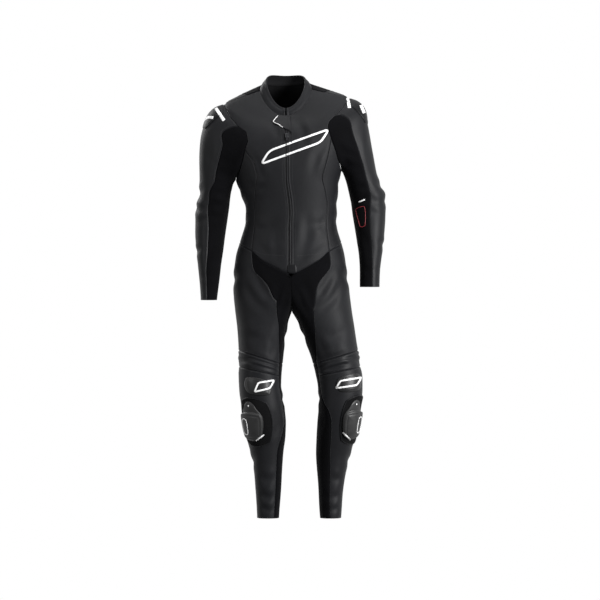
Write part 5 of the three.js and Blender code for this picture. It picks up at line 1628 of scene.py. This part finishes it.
for side in SIDES:
    leg = legs[side]
    knee = KNEES[side]
    cup_place = spot_on(knee["cup"], 36, 0.7, 0.75)

    def cup_height(s, t):
        r = rim_of(s, t)
        dome = 2.2 + 3.4 * np.sqrt(np.clip(1 - r * r * 0.98, 0, 1))
        return dome + 0.9 * smooth((0.78 - r) / 0.08)

    overlay(f"knee_armour_{side}", leg, "leg", side, cup_place, cup_height, (44, 44),
            black_plastic, (f"knee_cup_{side}",))
    base_place = spot_on(knee["base"], 48, 1.66, 0.7)

    def base_height(s, t):
        r = rim_of(s, t)
        return 2.6 - 1.4 * (1 - smooth((1 - r) / 0.05)) + 0.25 * np.sin(s * 70) * np.sin(t * 86)

    overlay(f"knee_loop_field_{side}", leg, "leg", side, base_place, base_height, (52, 52),
            loop_pile, (f"slider_base_{side}",))
    rim_spots = ring_on(leg, "leg", side, base_place, 1.6, 0.99)
    dress(tube(f"knee_field_rim_{side}", rim_spots, 2.3, leather_trim, True))

    def puck_place(s, t):
        a, b = squircle(s, t, 0.8)
        narrow = 1 - 0.38 * smooth((b - PUCK_SHOULDER + 0.3) / 0.6)
        return np.stack([knee["puck"][0] - a * narrow * 33, knee["puck"][1] - b * 1.32], -1)

    def puck_height(s, t):
        low = (1 + t) / (1 + PUCK_SHOULDER) * 2 - 1
        r = np.maximum(np.abs(s), np.abs(low))
        top = 12.2 + 5.8 * (1 - np.minimum(r, 1) ** 2)
        rounding = smooth((1.02 - r) / 0.12)
        tab = 6.9 - 1.5 * (1 - smooth((1 - rim_of(s, t)) / 0.14))
        groove = 1.1 * np.exp(-((r - 0.74) / 0.035) ** 2)
        return np.maximum((top - groove) * rounding, tab * (1 - rounding) + rounding * 6.5)

    overlay(f"knee_puck_{side}", leg, "leg", side, puck_place, puck_height, (48, 64),
            puck_plastic, (f"knee_slider_{side}",), floor=3.2)

    def puck_mark(s, t):
        a, b = squircle(s, t, 0.9)
        return puck_place(PUCK_MARK[0] + PUCK_MARK[2] * a, PUCK_MARK[1] + PUCK_MARK[3] * b)

    mark_s, mark_t = squircle(square[:, 0] * 0.93, square[:, 1] * 0.93, 0.9)
    mark_lift = puck_height(PUCK_MARK[0] + PUCK_MARK[2] * mark_s,
                            PUCK_MARK[1] + PUCK_MARK[3] * mark_t)
    mark_spots = ring_on(leg, "leg", side, puck_mark, mark_lift[:, None] - 0.2)
    dress(tube(f"knee_puck_mark_{side}", mark_spots, 1.5, white_rubber, True))
    stud = puck_place(*np.array([[STUD[0]], [STUD[1]]]))[0]
    stud_turn = np.linspace(0, 2 * np.pi, 16, endpoint=False)
    stud_ring = np.stack([stud[0] + 2.2 * np.cos(stud_turn), stud[1] + 0.055 * np.sin(stud_turn)], 1)
    stud_points = leg(stud_ring[:, 0], stud_ring[:, 1])
    stud_pair = np.stack([stud_points, np.broadcast_to(stud_points.mean(0), stud_points.shape)])
    stud_out = np.cross(stud_points[4] - stud_points[12], stud_points[0] - stud_points[8])
    stud_out /= np.linalg.norm(stud_out)
    if stud_out[1] > 0:
        stud_out = -stud_out
    rings = [stud_points + stud_out * lift for lift in (6.0, 7.4)]
    rings.append(stud_pair[1] + (stud_points - stud_pair[1]) * 0.6 + stud_out * 8.0)
    dress(swept(f"knee_puck_stud_{side}", np.stack(rings), 2.0, False, white_rubber))


# Slider and pull of the main zip: the solids with a turned metal's finish
for node, metal in (("zip_slider", zip_metal), ("zip_pull", pull_metal)):
    for carried in bpy.data.objects:
        if carried.type == "MESH" and carried.name == node:
            for material_slot in carried.material_slots:
                material_slot.material = metal

# Printed and moulded marks, plain bars in place of the words and signs
cloth = surface_tree()
ribbon("chest_mark", [(-92, -226), (-64, -182), (131, -110), (103, -154)], 3.2, 0, white_rubber,
       closed=True, corner=16)
ribbon("shoulder_bar_right", [(-241, -37), (-213, -80)], 5.2, 0, white_rubber)
ribbon("shoulder_end_right", [(-281, -76), (-268, -67), (-249, -70)], 4.6, 0, white_rubber,
       corner=8)
ribbon("shoulder_bar_left", [(193, -2), (198, -38)], 5.2, 0, white_rubber)
ribbon("shoulder_end_left", [(236, -27), (247, -54)], 5.0, 0, white_rubber)
ribbon("knee_mark_left", [(153, -956), (168, -932), (238, -921), (222, -946)], 2.8, 0,
       white_rubber, closed=True, corner=6, step=1.5)
ribbon("knee_mark_right", [(-113, -968), (-100, -938), (-48, -930), (-62, -956)], 2.8, 0,
       white_rubber, closed=True, corner=6, step=1.5)
ribbon("knee_dash_right", [(-108, -1129), (-82, -1109)], 2.3, 0, white_rubber, step=1.5)
ribbon("knee_dash_left", [(176, -1101), (201, -1126)], 2.6, 0, white_rubber, step=1.5)


# Studio
def area_light(name, at, aim, size, power, colour=(1, 1, 1)):
    light = bpy.data.lights.new(name, "AREA")
    light.shape = "RECTANGLE"
    light.size, light.size_y = size
    light.energy = power
    light.color = colour
    obj = bpy.data.objects.new(name, light)
    obj.location = at
    obj.rotation_euler = (Vector(aim) - Vector(at)).to_track_quat("-Z", "Y").to_euler()
    bpy.context.scene.collection.objects.link(obj)


ROOM = 0.24  # brightness of the room behind the camera; the backdrop is white
area_light("key", (4.4, -3.8, 0.5), (0, 0, -0.6), (2.0, 3.0), 560)
area_light("fill", (-4.4, -4.0, 0.8), (0, 0, -0.7), (2.4, 3.0), 80)
area_light("top", (0.2, -0.6, 3.4), (0, 0, -0.4), (3.0, 2.2), 80)
area_light("rim", (-2.6, 2.2, 1.4), (0, 0, -0.4), (1.4, 2.4), 60)
world = bpy.data.worlds.new("studio")
world.use_nodes = True
sky = world.node_tree
way = add(sky, "ShaderNodeTexCoord")
parts = add(sky, "ShaderNodeSeparateXYZ")
sky.links.new(way.outputs["Generated"], parts.inputs[0])
behind = add(sky, "ShaderNodeMapRange", in_From_Min=-1.0, in_From_Max=1.0)
sky.links.new(parts.outputs["Y"], behind.inputs["Value"])
shade = ramp(sky, behind.outputs[0], [(0.35, ROOM), (0.8, 1.0)])
sky.links.new(shade, sky.nodes["Background"].inputs["Color"])
bpy.context.scene.world = world
bpy.context.scene.view_settings.view_transform = "Standard"

camera_data = bpy.data.cameras.new("camera")
camera = bpy.data.objects.new("camera", camera_data)
bpy.context.scene.collection.objects.link(camera)
FRAME_SIDE = 1.974
FAR = 12.0
camera_data.sensor_width = 36
camera_data.lens = 36 * FAR / FRAME_SIDE
camera_data.clip_end = 60
camera.location = (0.036, -FAR, -0.668)
camera.rotation_euler = (math.pi / 2, 0, 0)
bpy.context.scene.camera = camera
